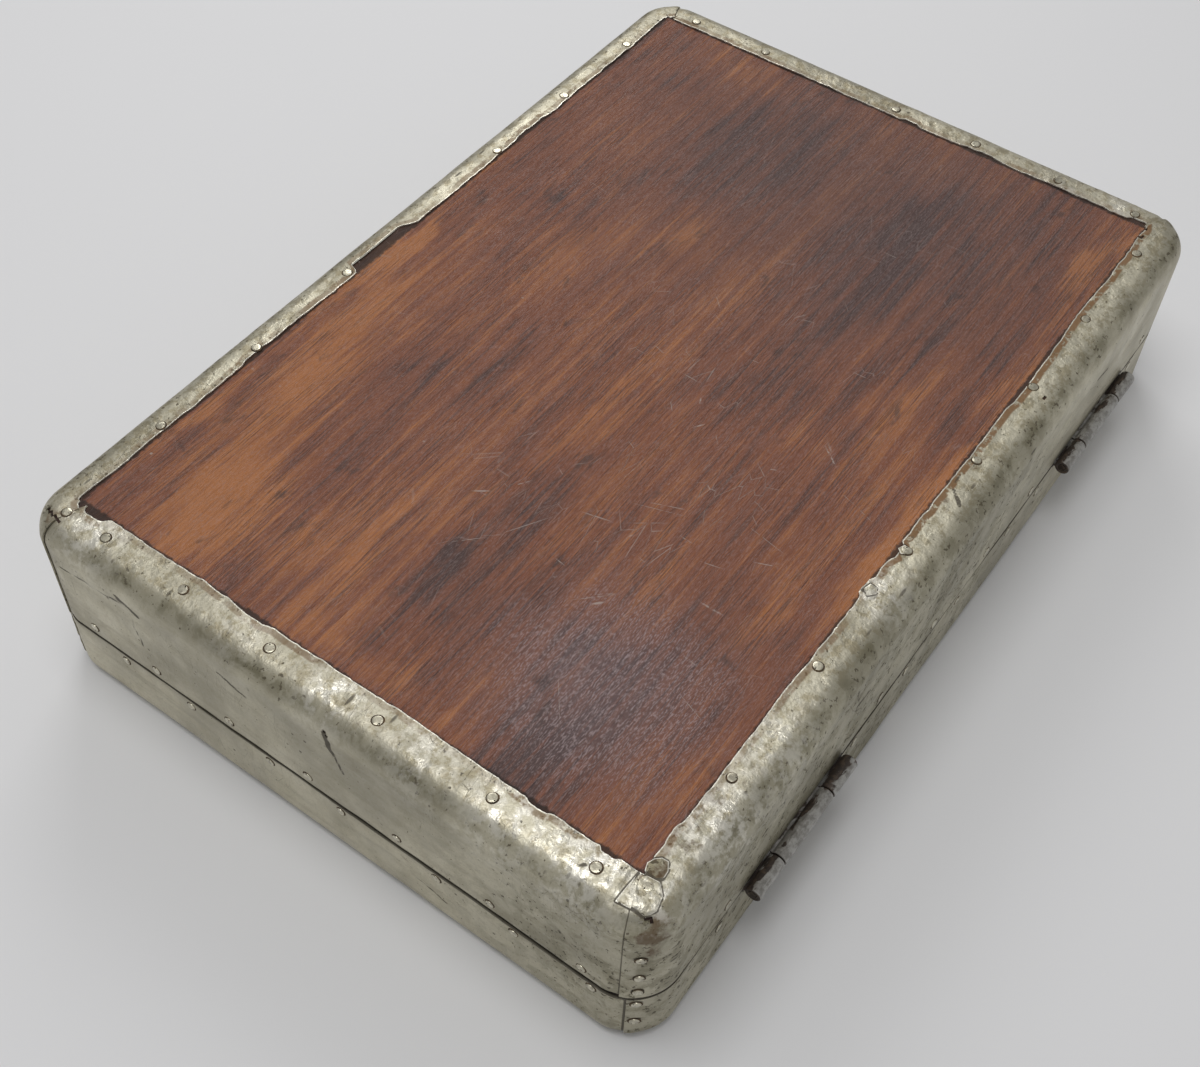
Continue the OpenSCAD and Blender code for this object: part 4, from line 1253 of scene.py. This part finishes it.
def folded_sheet(half, side, sizes, seats):
    plan = Sheet(half, side, sizes)
    s = plan.columns()
    side_rows = [("side", k) for k in spread(0, 1, 0.9 / (plan.height - plan.roll))[:-1]]
    roll_rows = [("roll", k) for k in spread(0, 1, 0.8 / (plan.roll * math.pi / 2))[:-1]]
    steps = spread(0, 1, 0.75 / (plan.border - plan.roll))
    border_rows = [("border", k) for k in steps]
    rows = side_rows + roll_rows + border_rows
    places, normals, flats, kinds = plan.fold(s, rows)
    s_end = s.max()
    out = plan.relief(places, flats, kinds, s_end, seats)
    folded = places + normals * out[:, None]

    piece, column, row = flat_grid(len(s), len(rows))
    piece.name = piece.data.name = f"{half}_{side}_sheet"
    order = row * len(s) + column
    set_coords(piece, folded[order] * MM)

    # Flat coordinates in metres as the UV map
    loops = np.empty(len(piece.data.loops), dtype=np.int64)
    piece.data.loops.foreach_get("vertex_index", loops)
    layer = piece.data.uv_layers.active
    layer.data.foreach_set("uv", (flats[order][loops] * MM).ravel())

    points = places[order]
    kind, flat = kinds[order], flats[order]
    stain = spots(points, STAINS)
    rub_and_highlight_spots = spots(points, RUBS_AND_HIGHLIGHTS)
    edge = plan.from_edge(flat[:, 0], kind)
    strip = 0.3 + 0.3 * wander(flat[:, 0], 0 * flat[:, 0], 8, plan.seed + 12)
    if side == "back":
        strip = np.maximum(strip, 1 - ease(points[:, 0], 26, 38))
    # Dirt and painted shade: olive dirt in a band round the top roll, with painted shade in the same
    # band; the metal is also darker round the bottom roll and under the base, near the right-hand
    # corners and towards the back's right-hand end
    if half == "lid":
        patches = 0.5 + 0.5 * wander(flat[:, 0], flat[:, 1], 13, plan.seed + 11)
        width = np.where(kind < 0.58, 0.26, 0.20)
        band = np.exp(-(((kind - 0.58) / width) ** 2)) * (0.55 + 0.45 * patches)
        grime_and_painted_shade = np.maximum(band, 0.25 * patches)
        corners = [((150, -95, 52), 14, 1.0), ((150, 85, 55), 14, 1.0)]
        grime_and_painted_shade = np.maximum(grime_and_painted_shade, 0.5 * spots(points, corners))
    else:
        patches = 0.5 + 0.5 * wander(flat[:, 0], flat[:, 1], 16, plan.seed + 11)
        grime_and_painted_shade = 0.25 * patches + 0.3 * ease(kind, 0.3, 1.0)
    grime_and_painted_shade = np.maximum(grime_and_painted_shade, 0.80 * spots(points, [((150, 100, 35), 60, 1.0)]) * (kind < 0.6))
    if side == "back":
        grime_and_painted_shade = np.maximum(grime_and_painted_shade, 0.70 * ease(points[:, 0], -120, 10) * (kind < 0.6))
    # Painted shade along the parting rim and at the sheets' lapped ends
    near_rim = 1 - ease(flat[:, 1], 0.0, 2.2)
    grime_and_painted_shade = np.maximum(grime_and_painted_shade, 0.45 * near_rim)
    near_end = s_end - np.abs(flat[:, 0])
    grime_and_painted_shade = np.maximum(grime_and_painted_shade, 0.7 * (1 - ease(near_end, 0.0, 2.5)))
    painted = {"stain": stain, "rub_and_highlight": rub_and_highlight_spots, "grime_and_painted_shade": grime_and_painted_shade, "strip": strip}
    painted = {label: np.clip(value, 0, 1) for label, value in painted.items()}
    painted["edge"] = edge
    across, up = points[:, 0] + points[:, 1], points[:, 2]
    shaken = points + 0.5 * np.stack([wander(across, up, 4, 90 + k) for k in range(3)], -1)
    painted["mark"] = np.min([far_from_line(shaken, a, b) - w for a, b, w in METAL_MARKS], axis=0)
    # Distances to lines of painted shade: next to the long sheets' edges where they lap over the end
    # sheets, wider at the base's corner seams, in the parting along the rims, and round the laps on
    # the lid
    painted["seam"] = np.full(len(points), FAR_OFF)
    if side in ("left", "right"):
        covered = plan.radius * TUCK
        wider = 0.0 if half == "lid" else 0.15
        painted["seam"] = np.abs(s_end - np.abs(flat[:, 0]) - covered - wider) - wider
    rim = flat[:, 1] - plan.rim_height(flat[:, 0])
    if side == "right":
        rim = rim - 0.34 * ease(flat[:, 0], -80, 80) - 0.12
    painted["seam"] = np.minimum(painted["seam"], rim + (0.10 if half == "lid" else 0.0))
    if half == "lid":
        for outline, _ in LAPS.values():
            near = np.where(up > TOP_Z - LAP_DROP, from_outline(points, outline) - 0.08, FAR_OFF)
            painted["seam"] = np.minimum(np.abs(painted["seam"]), near)
    paint_on(piece, painted)

    open_tears(piece)
    normal = np.array(piece.data.polygons[0].normal)
    outward = normals[order][piece.data.polygons[0].vertices[0]]
    if normal @ outward < 0:
        edit_whole(piece, bpy.ops.mesh.flip_normals)
    apply_modifier(piece, "SOLIDIFY", thickness=sizes.sheet_thickness, offset=-1)
    smooth(piece, 40)
    dress(piece, "sheet")
    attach(piece, half)
    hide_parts(f"{half}_{side}_clad")
    return piece


class CHEST_OT_sheets(bpy.types.Operator):
    """Lays out the eight metal sheets flat and folds them round the lid and the base"""

    bl_idname = "chest.sheets"
    bl_label = "Fold the metal sheets"

    def execute(self, context):
        sizes = context.scene.chest_sizes
        height = sizes.pin_height / MM
        for half in ("lid", "base"):
            kinds = ("top", "rim", "corner") if half == "lid" else ("rim", "corner", "under")
            seats = [seat for kind in kinds for seat in pin_seats(f"{half}_{kind}_pins", height)]
            for side in ("back", "front", "right", "left"):
                folded_sheet(half, side, sizes, seats)
        return {"FINISHED"}


def over_lid(x, y, sizes):
    """Height and outward direction of the plain lid at some places, in millimetres."""
    radius, roll = sizes.corner_radius / MM, sizes.top_roll / MM
    in_x = np.abs(x) - (HALF_L - radius)
    in_y = np.abs(y) - (HALF_W - radius)
    far = np.hypot(np.maximum(in_x, 0), np.maximum(in_y, 0))
    depth = radius - np.where(far > 0, far, np.maximum(in_x, in_y))
    safe = np.maximum(far, 1e-6)
    way_x = np.where(far > 0, np.maximum(in_x, 0) / safe, in_x > in_y) * np.sign(x)
    way_y = np.where(far > 0, np.maximum(in_y, 0) / safe, in_x <= in_y) * np.sign(y)
    out = np.clip((roll - depth) / roll, 0, 0.97)
    rise = np.sqrt(1 - out**2)
    return TOP_Z - roll * (1 - rise), np.stack([way_x * out, way_y * out, rise], -1)


class CHEST_OT_laps(bpy.types.Operator):
    """Folds the small laps and torn scraps of metal over the lid's border"""

    bl_idname = "chest.laps"
    bl_label = "Fold the corner laps"

    def execute(self, context):
        sizes = context.scene.chest_sizes
        pieces = []
        for name, (outline, height) in LAPS.items():
            lap = flat_outline(name, [(x, y, 0) for x, y in outline], split=True)
            edit_whole(lap, bpy.ops.mesh.subdivide, number_cuts=7)
            flat = coords(lap)
            near = from_outline(flat, outline)
            z, normal = over_lid(flat[:, 0], flat[:, 1], sizes)
            lift = height * (0.8 + 0.2 * wander(flat[:, 0], flat[:, 1], 1.9, 51))
            lift = lift - 0.10 * np.exp(-((near / 0.35) ** 2))
            pin = np.hypot(flat[:, 0] - TAB_PIN[0], flat[:, 1] - TAB_PIN[1])
            lift = lift - 0.16 * np.exp(-((pin / 2.0) ** 2))
            z = z - 0.02
            placed = np.stack([flat[:, 0], flat[:, 1], z], -1) + normal * lift[:, None]
            set_coords(lap, placed * MM)
            apply_modifier(lap, "SOLIDIFY", thickness=0.00030, offset=-1)
            stain, rub_and_highlight, grime_and_painted_shade = (0.8, 0.0, 0.5) if name == "corner_lobe" else (0.25, 0.6, 0.2)
            edge = from_outline(coords(lap) / MM, outline) + 0.06
            paint_on(lap, {"stain": stain, "rub_and_highlight": rub_and_highlight, "grime_and_painted_shade": grime_and_painted_shade, "edge": edge})
            paint_on(lap, {"strip": 0.0, "mark": FAR_OFF, "seam": FAR_OFF})
            pieces.append(lap)
        piece = join(pieces, "lid_corner_laps")
        smooth(piece, 40)
        dress(piece, "sheet")
        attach(piece, "lid")
        return {"FINISHED"}


# The pins' shanks, which go into the wood, in metres. Flush heads have a short one.
SHANK_LENGTH, FLUSH_SHANK_LENGTH, SHANK_RADIUS = 0.0075, 0.0045, 0.0006
# How far a pin may lean, and how deep its head is pressed into the sheet, in millimetres
PIN_LEAN = math.radians(3)
PIN_SINK = 0.05


class CHEST_OT_pins(bpy.types.Operator):
    """Drives a domed pin with a dark ring of dirt and painted shade round its head at each of the
    CAD pins' places
    """

    bl_idname = "chest.pins"
    bl_label = "Drive the pins"

    def model_pin(self, sizes, flush):
        radius, height = sizes.pin_head / 2, sizes.pin_height
        clear_selection()
        bpy.ops.mesh.primitive_cylinder_add(
            vertices=18, radius=radius, depth=height, location=(0, 0, height / 2)
        )
        head = bpy.context.active_object
        apply_place(head)
        rounding = {"offset": height * 0.6, "segments": 2, "affect": "EDGES"}
        edit_faces(head, lambda face: face.normal.z > 0.9, bpy.ops.mesh.bevel, **rounding)
        ring = radius * 0.35
        edit_faces(head, lambda face: face.normal.z > 0.97, bpy.ops.mesh.inset, thickness=ring)
        points = coords(head)
        spread_out = np.hypot(points[:, 0], points[:, 1])
        top = points[:, 2] > height * 0.95
        points[top, 2] -= height * 0.12 * (spread_out[top] / radius) ** 2
        set_coords(head, points)
        length = FLUSH_SHANK_LENGTH if flush else SHANK_LENGTH
        bpy.ops.mesh.primitive_cylinder_add(
            vertices=8, radius=SHANK_RADIUS, depth=length, location=(0, 0, -length / 2)
        )
        shank = bpy.context.active_object
        apply_place(shank)
        pin = join([shank, head], "pin_model")
        dress(pin, "pin", "grime_and_painted_shade")
        if not flush:
            # A thin dark ring round the head: dirt, and painted shade where the head meets the sheet
            bpy.ops.mesh.primitive_cone_add(
                vertices=16,
                radius1=radius * 1.30,
                radius2=radius * 1.12,
                depth=0.00009,
                location=(0, 0, 0.00003),
            )
            dirt_and_shade = bpy.context.active_object
            apply_place(dirt_and_shade)
            dress(dirt_and_shade, "pin", "grime_and_painted_shade")
            for polygon in dirt_and_shade.data.polygons:
                polygon.material_index = 1
            pin = join([dirt_and_shade, pin], "pin_model")
        return pin

    def execute(self, context):
        sizes = context.scene.chest_sizes
        height = sizes.pin_height / MM
        rng = np.random.RandomState(4)
        rows = {"lid": ("top", "rim", "corner"), "base": ("rim", "corner", "under")}
        for half, kinds in rows.items():
            for kind in kinds:
                node = f"{half}_{kind}_pins"
                flush = kind == "under"
                model = self.model_pin(sizes, flush)
                shape = coords(model)
                copies = []
                for seat, axis in pin_seats(node, height):
                    twin = copy_of(model)
                    way = Vector(axis).to_track_quat("Z", "Y").to_matrix()
                    lean = 0.0 if flush else PIN_LEAN
                    tilt_x = Matrix.Rotation(rng.uniform(-lean, lean), 3, "X")
                    tilt_y = Matrix.Rotation(rng.uniform(-lean, lean), 3, "Y")
                    spin = Matrix.Rotation(rng.uniform(0, 6.28), 3, "Z")
                    size = 1.0 if flush else rng.uniform(0.92, 1.02)
                    squash = 1.0 if flush else rng.uniform(0.9, 1.0)
                    points = shape * [size, size * squash, 1]
                    turned = points @ np.array(way @ (tilt_x @ tilt_y) @ spin).T
                    sink = 0.0 if flush else PIN_SINK
                    set_coords(twin, turned + (seat - axis * sink) * MM)
                    copies.append(twin)
                bpy.data.objects.remove(model)
                piece = join(copies, node + "_dressed")
                smooth(piece, 50)
                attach(piece, half)
                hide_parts(node)
        return {"FINISHED"}


# Hinges, in metres: sides of a knuckle, radius of its bore, half the play between two
# knuckles and between the leaves, and both radii of a countersunk hole
KNUCKLE_SIDES = 40
BORE = 0.00125
KNUCKLE_GAP, LEAF_GAP = 0.0002, 0.00005
SCREW_WIDE, SCREW_NARROW = 0.0019, 0.001


def tube_along_x(start, end, y, z, outer, inner):
    """Tube with eased ends, along X, in metres."""
    clear_selection()
    bpy.ops.mesh.primitive_cylinder_add(
        vertices=KNUCKLE_SIDES,
        radius=outer,
        depth=end - start,
        end_fill_type="NOTHING",
        location=((start + end) / 2, y, z),
        rotation=(0, math.pi / 2, 0),
    )
    tube = bpy.context.active_object
    apply_place(tube)
    apply_modifier(tube, "SOLIDIFY", thickness=outer - inner, offset=-1)
    ease_edges(tube, 0.00035, 3, 50)
    return tube


def block(low, high, bevel=0.0002):
    """Box with eased edges, in metres."""
    clear_selection()
    low, high = Vector(low), Vector(high)
    bpy.ops.mesh.primitive_cube_add(size=1, location=(low + high) / 2)
    item = bpy.context.active_object
    item.scale = high - low
    apply_place(item)
    ease_edges(item, bevel, 2, 30)
    return item


def cut(item, cutter):
    """Cuts one piece out of another, and removes the cutter."""
    apply_modifier(item, "BOOLEAN", operation="DIFFERENCE", object=cutter, solver="EXACT")
    bpy.data.objects.remove(cutter)


class CHEST_OT_hinges(bpy.types.Operator):
    """Rolls the two hinges: leaves with countersunk holes, and painted knuckles"""

    bl_idname = "chest.hinges"
    bl_label = "Make the hinges"

    def leaf(self, node, sizes, upper):
        low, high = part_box(node)
        barrel = sizes.barrel / 2
        axis_y = high[1] - barrel
        axis_z = (low[2] + barrel) if upper else (high[2] - barrel)
        leaf_low = axis_z + LEAF_GAP if upper else axis_z - LEAF_GAP - sizes.leaf_thickness
        leaf_high = leaf_low + sizes.leaf_thickness
        start_x, end_x = low[0], high[0]
        length = end_x - start_x
        quarter, gap = 0.25 * length, KNUCKLE_GAP
        plate = block((start_x, low[1], leaf_low), (end_x, HALF_W * MM, leaf_high), 0.00012)
        if upper:
            spans = [(start_x + quarter + gap, end_x - quarter - gap)]
        else:
            spans = [(start_x, start_x + quarter - gap), (end_x - quarter + gap, end_x)]
        screw_y = HALF_W * MM - (HALF_W * MM - low[1]) / 2
        middle = (start_x + end_x) / 2
        for step in (-1, 0, 1):
            clear_selection()
            bpy.ops.mesh.primitive_cone_add(
                vertices=24,
                radius1=SCREW_WIDE if upper else SCREW_NARROW,
                radius2=SCREW_NARROW if upper else SCREW_WIDE,
                depth=sizes.leaf_thickness + 0.0001,
                location=(middle + step * length / 3, screw_y, (leaf_low + leaf_high) / 2),
            )
            cutter = bpy.context.active_object
            apply_place(cutter)
            cut(plate, cutter)
        pieces = [plate]
        for start, end in spans:
            tube = tube_along_x(start, end, axis_y, axis_z, barrel, BORE)
            web = block(
                (start + 0.0003, HALF_W * MM - 0.001, leaf_low + 0.0001),
                (end - 0.0003, axis_y - BORE - 0.0002, leaf_high - 0.0001),
            )
            self.batter(tube, axis_y, axis_z, barrel)
            pieces += [web, tube]
        return pieces

    def batter(self, tube, axis_y, axis_z, barrel):
        """Small hammer marks on the outside of a knuckle."""
        apply_modifier(tube, "SUBSURF", levels=1, render_levels=1, subdivision_type="SIMPLE")
        points = coords(tube) / MM
        y, z = points[:, 1] - axis_y / MM, points[:, 2] - axis_z / MM
        spread_out = np.hypot(y, z)
        turn = np.arctan2(z, y)
        outer = spread_out > barrel / MM * 0.9
        push = 0.07 * wander(points[:, 0], turn * 2.4, 3.0, 71) - 0.07
        factor = np.where(outer, 1 + push / np.maximum(spread_out, 1), 1)
        points[:, 1] = axis_y / MM + y * factor
        points[:, 2] = axis_z / MM + z * factor
        set_coords(tube, points * MM)

    def execute(self, context):
        sizes = context.scene.chest_sizes
        for name in ("left", "right"):
            for half, upper in (("lid", True), ("base", False)):
                node = f"{name}_hinge_{half}_leaf"
                piece = join(self.leaf(node, sizes, upper), node + "_dressed")
                smooth(piece, 40)
                dress(piece, "paint" if upper else "paint_worn")
                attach(piece, half)
                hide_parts(node)
        for node in ("left_hinge_pin", "right_hinge_pin", "base_hinge_screws", "lid_hinge_screws"):
            dress(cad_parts[node], "steel")
        return {"FINISHED"}


class CHEST_OT_hook(bpy.types.Operator):
    """Finishes the front hook, its pivot and its stud in aged brass"""

    bl_idname = "chest.hook"
    bl_label = "Finish the front hook"

    def execute(self, context):
        for node in ("hook", "hook_pivot", "catch_stud"):
            dress(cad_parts[node], "brass")
        return {"FINISHED"}


# Radius at which the felt bends up the walls, and its grid's step
FELT_FOLD, FELT_STEP = 1.6, 3.0


class CHEST_OT_felt(bpy.types.Operator):
    """Folds a flat piece of felt into the tray that lines each half"""

    bl_idname = "chest.felt"
    bl_label = "Line with felt"

    def tray(self, node, half, sizes):
        low, high = box_mm(node)
        half_l, half_w = high[0], high[1]
        height = high[2] - low[2]
        floor, sign = (low[2], 1) if half == "base" else (high[2], -1)
        flat_l, flat_w = half_l + height, half_w + height
        xs, ys = self.marks(half_l, flat_l), self.marks(half_w, flat_w)
        piece, column, row = flat_grid(len(xs), len(ys))
        set_coords(piece, np.stack([xs[column], ys[row], 0 * xs[column]], -1))

        def in_corner(face):
            """The corners are cut away, so that the four sides fold up."""
            middle = face.calc_center_median()
            return abs(middle.x) > half_l - 0.01 and abs(middle.y) > half_w - 0.01

        edit_faces(piece, in_corner, bpy.ops.mesh.delete, type="FACE")
        u, v = coords(piece)[:, :2].T
        nap = 0.10 * wander(u, v, 9, 31) + 0.12 * wander(u, v, 30, 32)
        px, rise_x = self.fold_up(u, half_l)
        py, rise_y = self.fold_up(v, half_w)
        rise = rise_x + rise_y
        lift = np.where(rise < 0.01, 0.10 + np.abs(nap), 0.0)
        points = np.stack([px, py, floor + sign * (rise + lift)], -1)
        edge = 0.25 * wander(u, v, 12, 33)
        top = rise > height - 3
        points[top, 2] += sign * (edge[top] - 0.25)
        set_coords(piece, points * MM)
        face_in = np.array(piece.data.polygons[len(piece.data.polygons) // 2].normal)[2] * sign
        if face_in > 0:
            edit_whole(piece, bpy.ops.mesh.flip_normals)
        apply_modifier(piece, "SOLIDIFY", thickness=sizes.felt, offset=-1)
        ease_edges(piece, 0.0003, 2, 60)
        smooth(piece, 45)
        area = (4 * flat_l * flat_w - 4 * height * height) * MM * MM
        return piece, (2 * flat_l * MM, 2 * flat_w * MM), area

    def marks(self, edge, reach):
        """Lines of the flat felt's grid, closer together where it folds."""
        around = np.array([edge + FELT_FOLD * step for step in (-1, -0.5, 0, 0.5, 1)])
        even = spread(-reach, reach, FELT_STEP)
        return np.unique(np.concatenate([even, -around, around]).round(4))

    def fold_up(self, value, edge):
        """Bends a flat coordinate up at the edge, round a small radius."""
        a = np.abs(value)
        start = edge - FELT_FOLD
        run = np.clip(a - start, 0, None)
        bend = np.clip(run / (2 * FELT_FOLD), 0, 1) * math.pi / 2
        plan = np.where(a < start, a, start + FELT_FOLD * np.sin(bend))
        straight = np.clip(a - edge - FELT_FOLD, 0, None)
        rise = np.where(a < start, 0, FELT_FOLD * (1 - np.cos(bend)) + straight)
        return np.sign(value) * plan, rise

    def execute(self, context):
        sizes = context.scene.chest_sizes
        for half in ("base", "lid"):
            node = f"{half}_lining"
            piece, flat, area = self.tray(node, half, sizes)
            piece.name = piece.data.name = f"{half}_felt"
            dress(piece, "felt")
            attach(piece, half)
            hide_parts(node)
        return {"FINISHED"}


# Straight parts that make up the half circle at the bottom of a notch
NOTCH_STEPS = 16


class CHEST_OT_racks(bpy.types.Operator):
    """Cuts the two notched racks from board, with eased edges"""

    bl_idname = "chest.racks"
    bl_label = "Cut the racks"

    def outline(self, half_w, height, count, notch):
        """Side view of a rack, from its bottom corner round over the notches."""
        pitch, radius = 2 * half_w / (count + 0.4), notch / 2
        points = [(-half_w, 0.0), (half_w, 0.0), (half_w, height)]
        for i in reversed(range(count)):
            middle = (i - (count - 1) / 2) * pitch
            points.append((middle + radius, height))
            for k in range(NOTCH_STEPS + 1):
                turn = math.pi * k / NOTCH_STEPS
                low = height - radius - radius * math.sin(turn)
                points.append((middle + radius * math.cos(turn), low))
            points.append((middle - radius, height))
        points.append((-half_w, height))
        return points

    def execute(self, context):
        sizes = context.scene.chest_sizes
        for node in ("left_rack", "right_rack"):
            low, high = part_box(node)
            outline = self.outline(high[1], high[2] - low[2], sizes.notches, sizes.notch_width)
            piece = flat_outline(node + "_dressed", [(low[0], y, low[2] + z) for y, z in outline])
            along = {"value": (high[0] - low[0], 0, 0)}
            edit_whole(piece, bpy.ops.mesh.extrude_region_move, TRANSFORM_OT_translate=along)
            edit_whole(piece, bpy.ops.mesh.normals_make_consistent, inside=False)
            ease_edges(piece, 0.0007, 3, 50)
            smooth(piece, 40)
            dress(piece, "rack")
            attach(piece, "base")
            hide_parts(node)
        return {"FINISHED"}


class CHEST_OT_wood(bpy.types.Operator):
    """Stains the panel and the wooden case"""

    bl_idname = "chest.wood"
    bl_label = "Finish the wood"

    def execute(self, context):
        for name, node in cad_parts.items():
            if name == "lid_board":
                dress(node, "panel")
            elif name.endswith(("left_wall", "right_wall")):
                dress(node, "case_end")
            elif name == "base_board" or name.endswith("_wall"):
                dress(node, "case")
        return {"FINISHED"}


# The photograph's camera: picture width and focal length in pixels, sensor width,
# place, and the ways to the right, down and ahead
PHOTO_WIDTH, PHOTO_FOCAL, SENSOR = 1200, 1627.138, 36
CAMERA_PLACE = (0.2819765, 0.1707398, 0.3961623)
CAMERA_RIGHT = (-0.5848975, 0.8106237, 0.0280042)
CAMERA_DOWN = (0.6265096, 0.4734411, -0.6191440)
CAMERA_AHEAD = (-0.5151511, -0.3445908, -0.7847780)


class CHEST_OT_stage(bpy.types.Operator):
    """Sets the pale floor, the soft lamps and the camera of the photograph"""

    bl_idname = "chest.stage"
    bl_label = "Set the stage"

    def lamp(self, name, place, target, size, power):
        data = bpy.data.lights.new(name, "AREA")
        data.shape = "SQUARE"
        data.size = size
        data.energy = power
        item = bpy.data.objects.new(name, data)
        bpy.context.scene.collection.objects.link(item)
        item.location = place
        item.rotation_euler = (Vector(target) - Vector(place)).to_track_quat("-Z", "Y").to_euler()

    def execute(self, context):
        scene = context.scene
        clear_selection()
        bpy.ops.mesh.primitive_plane_add(size=6, location=(0, 0, 0))
        floor = bpy.context.active_object
        floor.name = "floor"
        look = Finish("pale_floor")
        look.set(Base_Color=(0.80, 0.80, 0.81), Roughness=0.75)
        floor.data.materials.append(look.material)

        self.lamp("key_softbox", (0.20, -0.05, 1.2), (0, 0, 0), 0.6, 5)
        self.lamp("back_softbox", (-0.70, -0.62, 0.80), (0, 0, 0), 0.5, 3)

        world = scene.world or bpy.data.worlds.new("studio")
        scene.world = world
        world.use_nodes = True
        tree = world.node_tree
        tree.nodes.clear()
        output = tree.nodes.new("ShaderNodeOutputWorld")
        ground = tree.nodes.new("ShaderNodeBackground")
        ground.inputs["Color"].default_value = (1, 1, 1, 1)
        ground.inputs["Strength"].default_value = 0.36
        tree.links.new(ground.outputs[0], output.inputs["Surface"])

        data = bpy.data.cameras.new("photo_camera")
        data.sensor_fit = "HORIZONTAL"
        data.sensor_width = SENSOR
        data.lens = SENSOR * PHOTO_FOCAL / PHOTO_WIDTH
        data.clip_start = 0.01
        camera = bpy.data.objects.new("photo_camera", data)
        scene.collection.objects.link(camera)
        right, down, ahead = (Vector(way) for way in (CAMERA_RIGHT, CAMERA_DOWN, CAMERA_AHEAD))
        turn = Matrix((right, -down, -ahead)).transposed()
        camera.matrix_world = Matrix.Translation(CAMERA_PLACE) @ turn.to_4x4()
        scene.camera = camera
        scene.view_settings.view_transform = "Standard"
        return {"FINISHED"}


class CHEST_PT_panel(bpy.types.Panel):
    """Steps that dress the chest, in order"""

    bl_idname = "CHEST_PT_panel"
    bl_label = "Silverware chest"
    bl_space_type = "VIEW_3D"
    bl_region_type = "UI"
    bl_category = "Chest"

    def draw(self, context):
        layout = self.layout
        for group in (context.scene.chest_sizes, context.scene.chest_colours):
            box = layout.box()
            for name in group.__annotations__:
                box.prop(group, name)
        for step in STEPS:
            layout.operator(step.bl_idname)


STEPS = (
    CHEST_OT_sheets,
    CHEST_OT_laps,
    CHEST_OT_pins,
    CHEST_OT_hinges,
    CHEST_OT_hook,
    CHEST_OT_felt,
    CHEST_OT_racks,
    CHEST_OT_wood,
    CHEST_OT_stage,
)
CLASSES = (ChestSizes, ChestColours, *STEPS, CHEST_PT_panel)


def register():
    for item in CLASSES:
        bpy.utils.register_class(item)
    bpy.types.Scene.chest_sizes = PointerProperty(type=ChestSizes)
    bpy.types.Scene.chest_colours = PointerProperty(type=ChestColours)


def unregister():
    del bpy.types.Scene.chest_sizes
    del bpy.types.Scene.chest_colours
    for item in reversed(CLASSES):
        bpy.utils.unregister_class(item)


def main():
    register()
    for step in STEPS:
        group, action = step.bl_idname.split(".")
        getattr(getattr(bpy.ops, group), action)()
    clear_selection()


if __name__ == "__main__":
    main()
